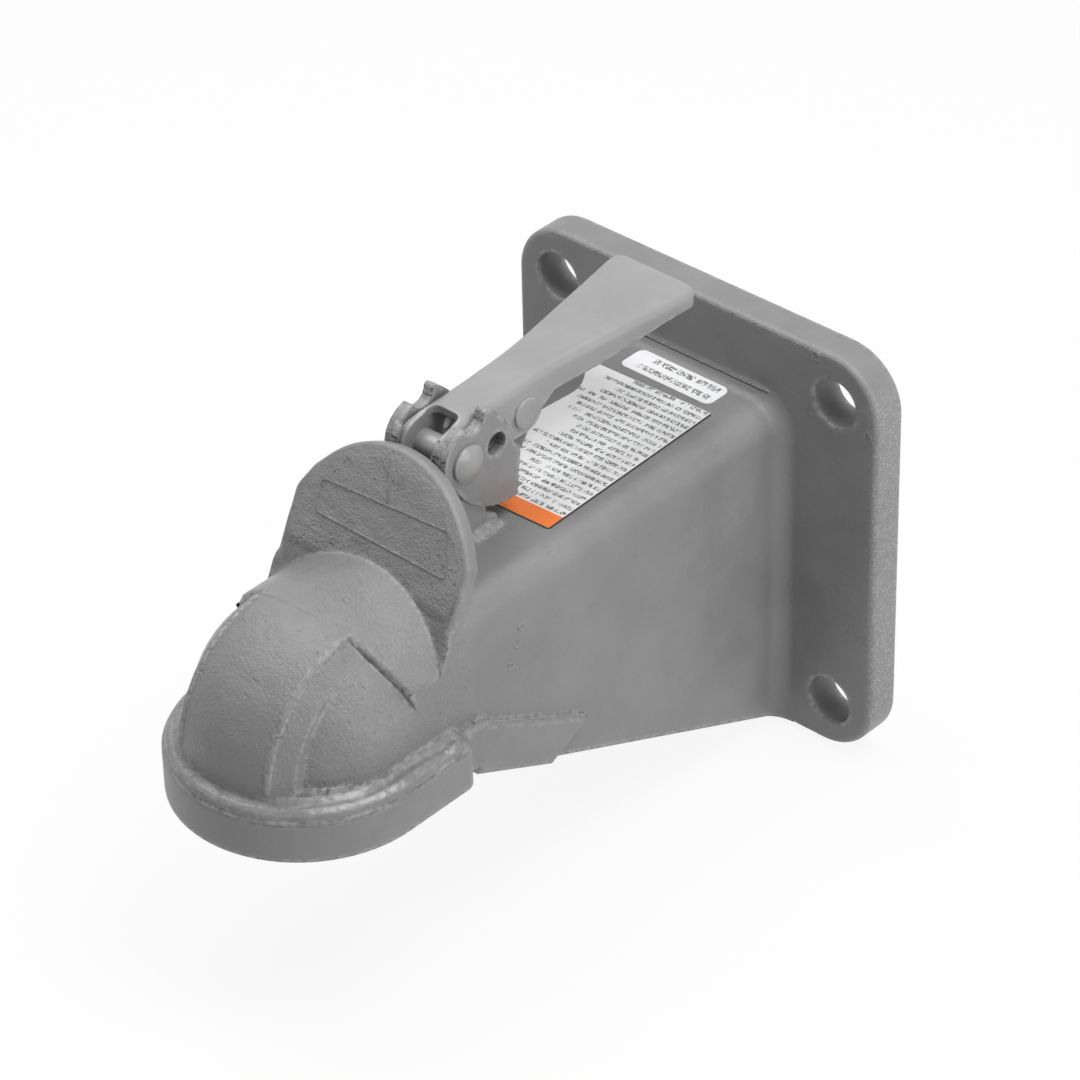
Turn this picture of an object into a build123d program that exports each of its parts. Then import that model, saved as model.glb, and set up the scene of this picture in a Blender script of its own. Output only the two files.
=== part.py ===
from build123d import *
import math
import os

# Flange-mounted trailer coupling head with a lever latch and a hinged ball clamp.
# Millimetres. +X points forward, from the mounting face to the ball, and +Z points up.
# The origin is the centre of the four-bolt pattern on the rear face of the flange.

os.makedirs("parts", exist_ok=True)

# Mounting flange
flange_side = 152.4
flange_thickness = 12.7
flange_corner_r = 20.0
flange_edge_r = 2.0
bolt_spacing = 117.475
bolt_hole_d = 17.46

# Ball socket
ball_d = 58.74
ball_clearance = 0.4
ball_x = 197.3
ball_z = 12.0
shell_wall = 7.1
rim_bottom_z = -9.8
rim_side_height = 13.8
rim_shoulder_rise = 5.6
rim_width = 7.0
rim_rear_x = 165.0
rim_corner_r = 6.0
mouth_chamfer = 2.0

# Dome over the ball: a broad hood behind, a spine over the top, lower side faces
hood_r = 42.9
hood_z = 10.3
hood_front_x = 195.0
hood_front_z = 49.0
hood_front_lean = 22.8
spine_centre_x = 193.2
spine_half_width = 18.3
spine_foot_half_width = 24.0
spine_foot_r = 32.4
side_face_r = 39.8
side_face_x = 190.0
side_face_z = 11.4

# Hollow body between the flange and the socket
body_top_z = 49.0
body_shoulder_r = 9.5
body_rear_bottom_z = -75.4
body_step_x = 125.0
body_step_z = -27.4
body_wall = 8.0
hollow_corner_r = 6.0
flange_root_r = 6.5
root_overlap = 1.0
strip_proud = 2.8
strip_front_top_z = 7.6
strip_front_bottom_z = -12.2
strip_rear_top_z = -18.8
strip_rear_bottom_z = -27.8
strip_front_x = 161.0
strip_rear_x = 109.5
strip_rear_run = 18.0

# Shield plate in front of the latch
shield_lean = 24.9
shield_foot_x = 161.6
shield_foot_z = 60.0
shield_r = 36.4
shield_top_above_foot = 29.0
shield_thickness = 6.3
shield_edge_r = 1.6

# Latch ears on top of the body
ear_gap = 14.4
ear_thickness = 4.0
ear_neck_inset = 1.0
ear_edge_r = 1.2
ear_nose_r = 11.0
ear_lobe_r = 10.0
ear_foot_r = 11.5
ear_scallop_x = 129.0
ear_scallop_z = 90.4
ear_scallop_r = 5.2
ear_neck_rear_x = 110.5
ear_neck_front_x = 128.0
ledge_rear_x = 118.6
ledge_top_z = 66.0
ledge_under_z = 60.4
ledge_undercut = 6.0
lock_hole_d = 7.4
lock_hole_x = 119.4
lock_hole_z = 78.2

# Lever and its pins
lever_pin_x = 134.0
lever_pin_z = 79.0
lever_pin_d = 9.0
lever_pin_head_d = 12.4
lever_pin_head_height = 2.6
lever_sheet = 2.6
lever_side_clearance = 0.3
lever_front_x = 128.0
lever_front_z = 90.4
lever_rear_x = 31.5
lever_rear_z = 94.9
lever_neck_x = 111.0
lever_kink_x = 94.0
lever_kink_half_width = 8.4
lever_cheek_r = 9.6
lever_boss_r = 7.4
lever_boss_face = 8.5
lever_skirt_front = 9.6
lever_skirt_mid_x = 72.0
lever_skirt_rear = 7.2
lever_rear_half_width = 17.2
lever_rear_corner_r = 5.0
lever_waist_r = 60.0
lever_bend_r = 4.0
catch_pin_x = 102.9
catch_pin_z = 80.0
catch_pin_d = 7.0
catch_pin_head_d = 11.6
catch_pin_head_height = 1.4

# Catch under the lever
catch_sheet = 1.6
catch_eye_r = 6.6
catch_lobe_x = 75.0
catch_lobe_z = 77.0
catch_lobe_r = 5.4
hook_tip_x = 118.2
hook_top_z = 58.5
hook_depth = 4.0
catch_spring_d = 4.2
catch_spring_wire = 0.8
catch_spring_turns = 7

# Pull link and ball clamp inside the body
link_thickness = 4.0
link_half_width = 5.6
link_slot_rear_x = 99.5
link_slot_front_x = 118.0
link_slot_side = 1.2
link_slot_play_long = 1.4
link_slot_play_side = 1.0
link_side_gap = 0.3
link_pin_d = 6.0
clamp_pin_x = 150.0
clamp_pin_z = 28.0
clamp_pin_d = 12.7
clamp_pin_head_d = 18.0
clamp_pin_head_height = 3.0
clamp_hub_r = 10.2
clamp_arm_x = 112.0
clamp_arm_z = 8.0
clamp_arm_thickness = 6.0
clamp_arm_eye_r = 6.8
clamp_spring_side = 9.0
clip_thickness = 1.6
clip_groove_d = 10.4
clamp_jaw_half_width = 18.0
clamp_jaw_thickness = 9.0
clamp_toe_z = -8.5
clamp_slot_clearance = 1.2
lug_thickness = 7.0
lug_inner = 15.0
lug_r = 12.0
clamp_spring_wire = 1.8
clamp_spring_turns = 2
clamp_spring_mean_r = 7.7
clamp_spring_tip_x = 128.0
clamp_spring_tip_z = 6.3
clamp_spring_tip_length = 6.0
clamp_spring_bend_r = 1.8
spring_points = 24

# Fits
pin_fit = 0.05
running_gap = 0.3

# Stickers on the top face
sticker_thickness = 0.15
large_sticker_length = 79.6
large_sticker_width = 44.6
large_sticker_x = 71.2
large_sticker_y = 2.0
sticker_turn = 4.8
small_sticker_length = 39.5
small_sticker_width = 11.0
small_sticker_x = 23.2
small_sticker_y = -0.6

# Worked out from the driving sizes
pocket_r = ball_d / 2 + ball_clearance
shell_r = pocket_r + shell_wall
body_half_width = shell_r
rim_r = shell_r + rim_width
body_bottom_slope = (body_step_z - body_rear_bottom_z) / (body_step_x - flange_thickness)
ceiling_z = body_top_z - body_wall
ear_outer = ear_gap / 2 + ear_thickness
lever_front_half_width = ear_gap / 2 - lever_side_clearance
clamp_hub_far = lug_inner - running_gap
clamp_arm_inner = link_thickness / 2 + link_side_gap
clamp_arm_outer = clamp_arm_inner + clamp_arm_thickness
lug_outer = lug_inner + lug_thickness

# Blocks that stand on their base, or hang from their top
BASE = (Align.CENTER, Align.CENTER, Align.MIN)
TOP = (Align.CENTER, Align.CENTER, Align.MAX)


def side_prism(points, half_width):
    """A side profile in X and Z, carried to the same distance on both sides."""
    face = make_face(Plane.XZ * Polyline(*points, close=True))
    return extrude(face, half_width, both=True)


def cross_bar(x, z, diameter, y_from, y_to):
    """A round bar across the head, between two places along Y."""
    length = y_to - y_from
    bar = Cylinder(diameter / 2, length, align=(Align.CENTER, Align.CENTER, Align.MIN))
    return Pos(x, y_from, z) * Rot(-90, 0, 0) * bar


def u_plan(half_width, rear_x, z, height, rear_corner_r=0.0):
    """Straight sides with a half-round front about the ball, raised to a height."""
    front = Pos(ball_x, 0) * Rectangle(2 * half_width, 2 * half_width, align=(Align.MIN, Align.CENTER))
    plan = (Pos(ball_x, 0) * Circle(half_width)) & front
    straight = ball_x - rear_x
    plan += Pos(ball_x - straight / 2, 0) * Rectangle(straight, 2 * half_width)
    if rear_corner_r:
        corners = plan.vertices().sort_by(Axis.X)[:2]
        plan = fillet(corners, rear_corner_r)
    return extrude(Pos(0, 0, z) * plan, height)


def bottom_z(x):
    """Height of the sloping lower edge of the side walls."""
    return body_rear_bottom_z + body_bottom_slope * (x - flange_thickness)


def shield_x(z):
    """Front face of the leaning shield plate at a height."""
    return shield_foot_x - (z - shield_foot_z) * math.tan(math.radians(shield_lean))


def flange():
    """Square plate with rounded corners and four bolt holes."""
    plate = Plane.YZ * RectangleRounded(flange_side, flange_side, flange_corner_r)
    plate = extrude(plate, flange_thickness)
    plate = fillet(plate.edges().group_by(Axis.X)[-1], flange_edge_r)
    plate = fillet(plate.edges().group_by(Axis.X)[0], flange_edge_r / 2)
    for place in GridLocations(bolt_spacing, bolt_spacing, 2, 2):
        plate -= extrude(Plane.YZ * place * Circle(bolt_hole_d / 2), flange_thickness)
    return plate


def body_outside():
    """Outside of the hollow body, with rounded shoulders and a round root at the flange."""
    rear = flange_thickness - root_overlap
    over = body_top_z + flange_root_r + 1
    front = shield_x(rim_bottom_z)
    block = side_prism(
        [(rear, body_top_z), (front, body_top_z), (front, -flange_side), (rear, -flange_side)],
        body_half_width,
    )
    top = block.faces().sort_by(Axis.Z)[-1]
    block = fillet(top.edges().filter_by(Axis.X), body_shoulder_r)
    backing = side_prism(
        [(rear, flange_side), (flange_thickness, flange_side), (flange_thickness, -flange_side), (rear, -flange_side)],
        flange_side / 2,
    )
    joined = block + backing
    root = joined.edges().filter_by(
        lambda e: abs(e.center().X - flange_thickness) < 0.01
        and abs(e.center().Y) < body_half_width + 0.1
        and abs(e.center().Z) < flange_side - 1
    )
    joined = fillet(root, flange_root_r)
    keep = side_prism(
        [
            (rear, over),
            (shield_x(body_top_z), over),
            (shield_x(body_top_z), body_top_z),
            (front, rim_bottom_z),
            (rim_rear_x, bottom_z(rim_rear_x)),
            (rear, bottom_z(rear)),
        ],
        body_half_width + flange_root_r,
    )
    return joined & keep


def lower_strip():
    """Thicker band along the lower edge of each side wall, beside the ball clamp."""
    profile = [
        (strip_front_x, strip_front_bottom_z),
        (strip_front_x, strip_front_top_z),
        (strip_rear_x, strip_rear_top_z),
        (strip_rear_x + strip_rear_run, strip_rear_bottom_z),
    ]
    band = side_prism(profile, body_half_width + strip_proud)
    sides = band.faces().filter_by(Axis.Y)
    return fillet(sides.edges(), strip_proud * 0.6)


def rim():
    """Heavy lip round the mouth of the ball socket, with a sloping shoulder on top."""
    band = u_plan(rim_r, rim_rear_x, rim_bottom_z, rim_side_height, rim_corner_r)
    top_z = rim_bottom_z + rim_side_height
    foot = u_plan(rim_r, rim_rear_x, top_z, 0.5, rim_corner_r)
    upper = foot.faces().sort_by(Axis.Z)[-1]
    shoulder = extrude(upper, rim_shoulder_rise, taper=46)
    band = fillet(band.edges().group_by(Axis.Z)[-1], 0.8)
    return band + foot + shoulder


def shield():
    """Flat shield plate with a round head, leaning back over the body."""
    lean = math.radians(shield_lean)
    plane = Plane(
        origin=(shield_foot_x, 0, shield_foot_z),
        x_dir=(0, 1, 0),
        z_dir=(math.cos(lean), 0, math.sin(lean)),
    )
    head_v = shield_top_above_foot - shield_r
    foot_v = -(shield_foot_z - ceiling_z) / math.cos(lean)
    outline = Pos(0, head_v) * Circle(shield_r)
    outline += Pos(0, (head_v + foot_v) / 2) * Rectangle(2 * shield_r, head_v - foot_v)
    plate = extrude(plane * outline, -shield_thickness)
    flats = plate.faces().sort_by(SortBy.AREA)[-2:]
    return fillet(flats.edges(), shield_edge_r)


def hood():
    """Half-round hood from the shield forward, with a leaning front edge on each side."""
    rear_x = shield_x(hood_z + hood_r) - shield_thickness
    tube = Plane.YZ.offset(rear_x) * Pos(0, hood_z) * Circle(hood_r)
    tube = extrude(tube, ball_x - rear_x + hood_r)
    lean = math.tan(math.radians(hood_front_lean))
    low_x = hood_front_x - lean * (hood_front_z - rim_bottom_z)
    high_x = hood_front_x + lean * hood_r
    keep = side_prism(
        [
            (rear_x, rim_bottom_z),
            (low_x, rim_bottom_z),
            (high_x, hood_front_z + hood_r),
            (rear_x, hood_front_z + hood_r),
        ],
        body_half_width,
    )
    return tube & keep


def spine():
    """Thick band over the top and front of the dome, turned about an axis across the head."""
    outer = hood_r
    edge_rho = math.sqrt(outer**2 - spine_half_width**2)
    inner_rho = shell_r / 2
    outline = Polyline(
        (spine_half_width, edge_rho),
        (spine_foot_half_width, spine_foot_r),
        (spine_foot_half_width, inner_rho),
        (-spine_foot_half_width, inner_rho),
        (-spine_foot_half_width, spine_foot_r),
        (-spine_half_width, edge_rho),
    )
    crown = ThreePointArc((-spine_half_width, edge_rho), (0, outer), (spine_half_width, edge_rho))
    section = make_face(outline + crown)
    wheel = revolve(Plane.XY * section, Axis.X)
    turned = Pos(spine_centre_x, 0, hood_z) * Rot(0, 0, 90) * wheel
    front = side_prism(
        [
            (ball_x - shell_r, rim_bottom_z),
            (ball_x + 2 * shell_r, rim_bottom_z),
            (ball_x + 2 * shell_r, hood_z + 2 * hood_r),
            (ball_x - shell_r, hood_z + 2 * hood_r),
        ],
        hood_r,
    )
    return turned & front


def side_faces():
    """Lower, rounder face on each side of the spine, blending into the side walls."""
    ball = Pos(side_face_x, 0, side_face_z) * Sphere(side_face_r)
    drum = u_plan(body_half_width, side_face_x - side_face_r, rim_bottom_z, 2 * hood_r)
    skirt = u_plan(body_half_width, rim_rear_x, rim_bottom_z, side_face_z - rim_bottom_z)
    return (ball & drum) + skirt


def ear_outline():
    """Egg-shaped latch ear seen from the side, with a scallop in its upper edge."""
    nose = Pos(lever_pin_x - 1.0, lever_pin_z + 2.0) * Circle(ear_nose_r)
    lobe = Pos(lock_hole_x - 0.2, lock_hole_z + 2.3) * Circle(ear_lobe_r)
    foot = Pos(lock_hole_x - 1.4, lock_hole_z - 10.7) * Circle(ear_foot_r)
    egg = make_hull((lobe + nose + foot).edges())
    scallop = Pos(ear_scallop_x, ear_scallop_z) * Circle(ear_scallop_r)
    return egg - scallop


def ears():
    """The pair of latch ears, each on a narrower neck, with the catch ledge between them."""
    plate = extrude(Plane.XZ * ear_outline(), ear_outer, both=True)
    sides = plate.faces().filter_by(Axis.Y)
    plate = fillet(sides.edges(), ear_edge_r)
    neck_top = lock_hole_z - 12.0
    neck = side_prism(
        [
            (ear_neck_rear_x - 4.0, ceiling_z),
            (ear_neck_front_x + 4.0, ceiling_z),
            (ear_neck_front_x + 4.0, body_top_z + 1.5),
            (ear_neck_front_x, body_top_z + 5.5),
            (ear_neck_front_x, neck_top),
            (ear_neck_rear_x, neck_top),
            (ear_neck_rear_x, body_top_z + 5.5),
            (ear_neck_rear_x - 4.0, body_top_z + 1.5),
        ],
        ear_outer - ear_neck_inset,
    )
    pair = plate + neck
    gap_profile = [
        (ear_neck_rear_x - ear_outer, body_top_z),
        (ledge_rear_x + ledge_undercut, body_top_z),
        (ledge_rear_x + ledge_undercut, ledge_under_z),
        (ledge_rear_x, ledge_under_z),
        (ledge_rear_x, ledge_top_z),
        (lever_pin_x + 2 * ear_outer, ledge_top_z),
        (lever_pin_x + 2 * ear_outer, lever_rear_z),
        (ear_neck_rear_x - ear_outer, lever_rear_z),
    ]
    return pair - side_prism(gap_profile, ear_gap / 2)


def pin_lugs():
    """Two lugs under the ceiling that carry the clamp pin."""
    side = Pos(clamp_pin_x, clamp_pin_z) * Circle(lug_r)
    root = Pos(clamp_pin_x, ceiling_z) * Rectangle(2 * lug_r + 4, 2)
    outline = make_hull((side + root).edges())
    both = extrude(Plane.XZ * outline, lug_inner + lug_thickness, both=True)
    return both - extrude(Plane.XZ * outline, lug_inner, both=True)


def socket_hollow():
    """Space for the ball, with a straight mouth below and a chamfered lip."""
    mouth = ball_z - rim_bottom_z
    well = Pos(ball_x, 0, rim_bottom_z) * Cylinder(pocket_r, mouth, align=BASE)
    lip = Pos(ball_x, 0, rim_bottom_z) * Cone(pocket_r + mouth_chamfer, pocket_r, mouth_chamfer, align=BASE)
    return well + Pos(ball_x, 0, ball_z) * Sphere(pocket_r) + lip


def body_hollow():
    """Open underside of the body, rounded in its corners."""
    rear = flange_thickness + body_wall
    front = clamp_pin_x + lug_r
    room = side_prism(
        [(rear, ceiling_z), (front, ceiling_z), (front, -flange_side), (rear, -flange_side)],
        body_half_width - body_wall,
    )
    upright = room.edges().filter_by(Axis.Z)
    ceiling = room.faces().sort_by(Axis.Z)[-1].edges().filter_by(Axis.X)
    return fillet(upright + ceiling, hollow_corner_r)


def clamp_slot():
    """Room behind the ball for the clamp to swing in."""
    crown_z = ball_z + pocket_r / 2
    return side_prism(
        [
            (clamp_pin_x - lug_r, ceiling_z),
            (clamp_pin_x + lug_r - 3, ceiling_z),
            (ball_x - pocket_r + 4, crown_z),
            (ball_x, crown_z),
            (ball_x, -flange_side),
            (clamp_pin_x - lug_r, -flange_side),
        ],
        clamp_jaw_half_width + clamp_slot_clearance,
    )


def casting():
    """The whole casting: outside forms first, then the socket, the hollow and the bores."""
    shape = flange() + body_outside()
    shape = shape + side_faces() + hood() + spine() + rim() + lower_strip() + shield() + ears()
    shape = shape - body_hollow() - clamp_slot() - socket_hollow()
    shape = shape + pin_lugs()
    slot_length = link_slot_front_x - link_slot_rear_x
    slot_x = (link_slot_front_x + link_slot_rear_x) / 2
    slot = Pos(slot_x, 0) * SlotOverall(slot_length, link_thickness + 2 * link_slot_side)
    shape = shape - extrude(Pos(0, 0, ceiling_z - 1) * slot, body_wall + 2)
    shape = shape - cross_bar(lever_pin_x, lever_pin_z, lever_pin_d + 2 * pin_fit, -flange_side, flange_side)
    shape = shape - cross_bar(lock_hole_x, lock_hole_z, lock_hole_d, -flange_side, flange_side)
    return shape - cross_bar(clamp_pin_x, clamp_pin_z, clamp_pin_d + 2 * pin_fit, -lug_outer, lug_outer)


def lever_half_width(x):
    """Half the outside width of the lever: narrow between the ears, flaring to the grip."""
    if x > lever_neck_x:
        return lever_front_half_width
    if x > lever_kink_x:
        share = (lever_neck_x - x) / (lever_neck_x - lever_kink_x)
        return lever_front_half_width + share * (lever_kink_half_width - lever_front_half_width)
    share = (lever_kink_x - x) / (lever_kink_x - lever_rear_x)
    return lever_kink_half_width + share * (lever_rear_half_width - lever_kink_half_width)


def lever_plan(inset, rear_x, corner_r):
    """Outline of the lever from above, drawn in by the sheet thickness for the inside."""
    front = lever_pin_x + lever_cheek_r + 1
    stations = [front, lever_neck_x, lever_kink_x, rear_x]
    upper = [(x, lever_half_width(x) - inset) for x in stations]
    lower = [(x, -y) for x, y in reversed(upper)]
    plan = make_face(Polyline(*(upper + lower), close=True))
    plan = fillet(plan.vertices().sort_by(Axis.X)[2:6], lever_waist_r)
    return fillet(plan.vertices().sort_by(Axis.X)[:2], corner_r)


def web_z(x):
    """Height of the top of the lever at a place along it."""
    rise = (lever_rear_z - lever_front_z) / (lever_front_x - lever_rear_x)
    return lever_front_z + (lever_front_x - x) * rise


def lever_side():
    """Side outline of the lever, with round lobes at its pivot and at the catch pin."""
    outline = make_face(
        Polyline(
            (lever_rear_x, web_z(lever_rear_x) + lever_sheet),
            (lever_front_x, web_z(lever_front_x) + lever_sheet),
            (lever_front_x, web_z(lever_front_x)),
            (lever_pin_x, lever_pin_z + lever_cheek_r),
            (lever_pin_x, lever_pin_z - lever_cheek_r),
            (lock_hole_x, catch_pin_z - lever_boss_r),
            (catch_pin_x, catch_pin_z - lever_boss_r),
            (catch_pin_x - lever_boss_r - 1, catch_pin_z - 1),
            (lever_kink_x - 4, web_z(lever_kink_x) - lever_skirt_front),
            (lever_skirt_mid_x, web_z(lever_skirt_mid_x) - lever_skirt_front),
            (lever_rear_x + 12, web_z(lever_rear_x) - lever_skirt_rear),
            (lever_rear_x, web_z(lever_rear_x) - lever_skirt_rear + 1),
            close=True,
        )
    )
    outline += Pos(lever_pin_x, lever_pin_z) * Circle(lever_cheek_r)
    outline += Pos(catch_pin_x, catch_pin_z) * Circle(lever_boss_r)
    return outline


def lever():
    """Pressed channel lever: a web with turned-down sides and a closed, rounded rear end."""
    low = lever_pin_z - 2 * lever_cheek_r
    tall = 4 * lever_cheek_r
    plan = lever_plan(0, lever_rear_x, lever_rear_corner_r)
    rear_x = lever_rear_x - 1
    front_x = lever_pin_x + 2 * lever_cheek_r
    below_web = side_prism(
        [(rear_x, web_z(rear_x)), (front_x, web_z(front_x)), (front_x, low), (rear_x, low)],
        2 * lever_rear_half_width,
    )
    outside = extrude(Pos(0, 0, low) * plan, tall) & below_web
    web = outside.faces().sort_by(Axis.Z)[-1]
    outside = fillet(web.edges().sort_by(Axis.X)[:-1], lever_bend_r)
    outside = outside & extrude(Plane.XZ * lever_side(), 2 * lever_rear_half_width, both=True)
    under = [
        (lever_rear_x, web_z(lever_rear_x) - lever_sheet),
        (lever_front_x, web_z(lever_front_x) - lever_sheet),
        (lever_front_x, web_z(lever_rear_x)),
        (front_x, web_z(lever_rear_x)),
        (front_x, low),
        (lever_rear_x, low),
    ]
    plan = lever_plan(lever_sheet, lever_rear_x + lever_sheet, lever_rear_corner_r - lever_sheet)
    shape = outside - (extrude(Pos(0, 0, low) * plan, tall) & side_prism(under, 2 * lever_rear_half_width))
    boss_in = lever_half_width(catch_pin_x) - lever_sheet / 2
    for side in (-1, 1):
        ends = sorted((side * boss_in, side * lever_boss_face))
        shape += cross_bar(catch_pin_x, catch_pin_z, catch_pin_head_d, *ends)
    shape -= cross_bar(lever_pin_x, lever_pin_z, lever_pin_d + 2 * pin_fit, -flange_side, flange_side)
    shape -= cross_bar(catch_pin_x, catch_pin_z, catch_pin_d + 2 * pin_fit, -flange_side, flange_side)
    return shape - cross_bar(lock_hole_x, lock_hole_z, lock_hole_d, -flange_side, flange_side)


def lever_pin():
    """Riveted pivot pin with a domed head outside each ear."""
    shape = cross_bar(lever_pin_x, lever_pin_z, lever_pin_d, -ear_outer, ear_outer)
    radius = (lever_pin_head_d**2 / 4 + lever_pin_head_height**2) / (2 * lever_pin_head_height)
    for side in (-1, 1):
        centre_y = side * (ear_outer + lever_pin_head_height - radius)
        ends = sorted((side * ear_outer, side * (ear_outer + 2 * lever_pin_head_height)))
        head = cross_bar(lever_pin_x, lever_pin_z, lever_pin_head_d, *ends)
        shape += Pos(lever_pin_x, centre_y, lever_pin_z) * Sphere(radius) & head
    return shape


def catch_pin():
    """Flat-headed rivet through the lever, the catch and the pull link."""
    shape = cross_bar(catch_pin_x, catch_pin_z, catch_pin_d, -lever_boss_face, lever_boss_face)
    for side in (-1, 1):
        ends = sorted((side * lever_boss_face, side * (lever_boss_face + catch_pin_head_height)))
        head = cross_bar(catch_pin_x, catch_pin_z, catch_pin_head_d, *ends)
        far_edge = head.edges().filter_by(GeomType.CIRCLE).sort_by(lambda e: side * e.center().Y)[-1]
        shape += fillet(far_edge, catch_pin_head_height * 0.6)
    return shape


def catch():
    """Folded sheet catch: two side plates with a hook in front and a finger lobe behind."""
    outer = link_thickness / 2 + link_side_gap + catch_sheet
    inner = link_thickness / 2 + link_side_gap
    eye = Pos(catch_pin_x, catch_pin_z) * Circle(catch_eye_r)
    lobe = Pos(catch_lobe_x, catch_lobe_z) * Circle(catch_lobe_r)
    knee = Pos(catch_pin_x - 1, catch_pin_z - 8) * Circle(catch_eye_r)
    heel = Pos(hook_tip_x - 7, hook_top_z) * Circle(catch_lobe_r)
    profile = make_hull((eye + lobe).edges()) + make_hull((eye + knee + heel).edges())
    hook_low = hook_top_z - hook_depth
    hook_rear_x = hook_tip_x - 9
    profile += make_face(
        Polyline(
            (hook_rear_x, hook_top_z),
            (hook_tip_x, hook_top_z),
            (hook_tip_x, hook_low + 1),
            (hook_tip_x - 1, hook_low),
            (hook_rear_x, hook_low),
            close=True,
        )
    )
    shape = extrude(Plane.XZ * profile, outer, both=True)
    floor = catch_lobe_z - catch_lobe_r + catch_sheet
    back = catch_lobe_x - catch_lobe_r + catch_sheet
    front = catch_lobe_x + 2 * catch_lobe_r
    between = [
        (back, floor),
        (front, floor),
        (front, hook_low - 2),
        (hook_tip_x + 1, hook_low - 2),
        (hook_tip_x + 1, lever_front_z),
        (back, lever_front_z),
    ]
    shape -= side_prism(between, inner)
    return shape - cross_bar(catch_pin_x, catch_pin_z, catch_pin_d + 2 * pin_fit, -outer, outer)


def catch_spring():
    """Compression spring between the finger lobe and the underside of the lever."""
    floor = catch_lobe_z - catch_lobe_r + catch_sheet + running_gap / 2
    ceiling = web_z(catch_lobe_x + catch_spring_d / 2) - lever_sheet - running_gap / 2
    rise = ceiling - floor - catch_spring_wire
    radius = (catch_spring_d - catch_spring_wire) / 2
    path = Helix(pitch=rise / catch_spring_turns, height=rise, radius=radius)
    wire = Plane(origin=path @ 0, z_dir=path % 0) * Circle(catch_spring_wire / 2)
    return Pos(catch_lobe_x, 0, floor + catch_spring_wire / 2) * sweep(wire, path=path)


def pull_link():
    """Flat bar from the catch pin down to the clamp, with a slotted lower eye."""
    run = math.hypot(clamp_arm_x - catch_pin_x, catch_pin_z - clamp_arm_z)
    lower = Pos(0, -run) * Circle(link_half_width + 1)
    bar = make_hull((Circle(link_half_width) + lower).edges())
    bar -= Circle(catch_pin_d / 2 + pin_fit)
    slot_wide = link_pin_d + 2 * link_slot_play_side
    slot_long = link_pin_d + 2 * link_slot_play_long
    bar -= Pos(0, -run) * Rot(0, 0, 90) * SlotOverall(slot_long, slot_wide)
    tilt = math.degrees(math.atan2(clamp_arm_x - catch_pin_x, catch_pin_z - clamp_arm_z))
    flat = Pos(catch_pin_x, catch_pin_z) * Rot(0, 0, tilt) * bar
    return extrude(Plane.XZ * flat, link_thickness / 2, both=True)


def link_pin():
    """Headed pin through the clamp arms and the slotted eye of the link."""
    shape = cross_bar(clamp_arm_x, clamp_arm_z, link_pin_d, -clamp_arm_outer, clamp_arm_outer)
    for side in (-1, 1):
        ends = sorted((side * clamp_arm_outer, side * (clamp_arm_outer + 1.2)))
        shape += cross_bar(clamp_arm_x, clamp_arm_z, link_pin_d + 3, *ends)
    return shape


def ball_clamp():
    """Forged clamp: a hub on the clamp pin, a forked arm behind and a hollowed jaw in front."""
    hub_near = clamp_spring_side - running_gap
    shape = cross_bar(clamp_pin_x, clamp_pin_z, 2 * clamp_hub_r, -clamp_hub_far, hub_near)
    shape += side_prism(
        [
            (clamp_pin_x + 2, clamp_pin_z + clamp_hub_r - 1),
            (ball_x - pocket_r + 4, ball_z + 11),
            (ball_x - pocket_r + 4, ball_z - 8),
            (clamp_pin_x + 4, ball_z - 8),
            (clamp_pin_x - clamp_hub_r + 2, clamp_pin_z - 4),
        ],
        hub_near,
    )
    jaw_back_x = ball_x - pocket_r - clamp_jaw_thickness
    jaw = side_prism(
        [
            (ball_x - pocket_r + 2, ball_z + 2),
            (ball_x - 14, clamp_toe_z + 6),
            (ball_x - 18, clamp_toe_z),
            (jaw_back_x + 2, clamp_toe_z),
            (jaw_back_x, ball_z - 3),
        ],
        clamp_jaw_half_width,
    )
    shape += fillet(jaw.edges().filter_by(Axis.Y), 1.2)
    root = Pos(clamp_pin_x - 2, clamp_pin_z - 1) * Circle(clamp_hub_r - 1.5)
    eye = Pos(clamp_arm_x, clamp_arm_z) * Circle(clamp_arm_eye_r)
    arm = extrude(Plane.XZ * make_hull((root + eye).edges()), clamp_arm_outer, both=True)
    window_x = clamp_pin_x - clamp_hub_r - 4
    window = side_prism(
        [
            (clamp_arm_x - 20, clamp_pin_z + 20),
            (window_x, clamp_pin_z + 20),
            (window_x, clamp_arm_z - 20),
            (clamp_arm_x - 20, clamp_arm_z - 20),
        ],
        clamp_arm_inner,
    )
    shape += arm - window
    shape -= Pos(ball_x, 0, ball_z) * Sphere(pocket_r)
    shape -= cross_bar(clamp_pin_x, clamp_pin_z, clamp_pin_d + 2 * pin_fit, -flange_side, flange_side)
    return shape - cross_bar(clamp_arm_x, clamp_arm_z, link_pin_d + 2 * pin_fit, -flange_side, flange_side)


def clamp_pin():
    """Headed pin carried by the two lugs, grooved for a clip."""
    end = lug_outer + clip_thickness + 2.5
    shape = cross_bar(clamp_pin_x, clamp_pin_z, clamp_pin_d, -lug_outer, end)
    head_end = -lug_outer - clamp_pin_head_height
    shape += cross_bar(clamp_pin_x, clamp_pin_z, clamp_pin_head_d, head_end, -lug_outer)
    return shape - clip_ring(clamp_pin_d + 2)


def clip_ring(outer_d):
    """Ring that fills the clip groove out to a diameter."""
    ends = (lug_outer, lug_outer + clip_thickness)
    ring = cross_bar(clamp_pin_x, clamp_pin_z, outer_d, *ends)
    return ring - cross_bar(clamp_pin_x, clamp_pin_z, clip_groove_d, *ends)


def clamp_pin_clip():
    """Snap ring in the groove of the clamp pin, open below."""
    mouth = Box(clip_groove_d * 0.8, 4 * clip_thickness, clamp_pin_head_d, align=TOP)
    return clip_ring(clamp_pin_head_d) - Pos(clamp_pin_x, lug_outer, clamp_pin_z) * mouth


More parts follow.
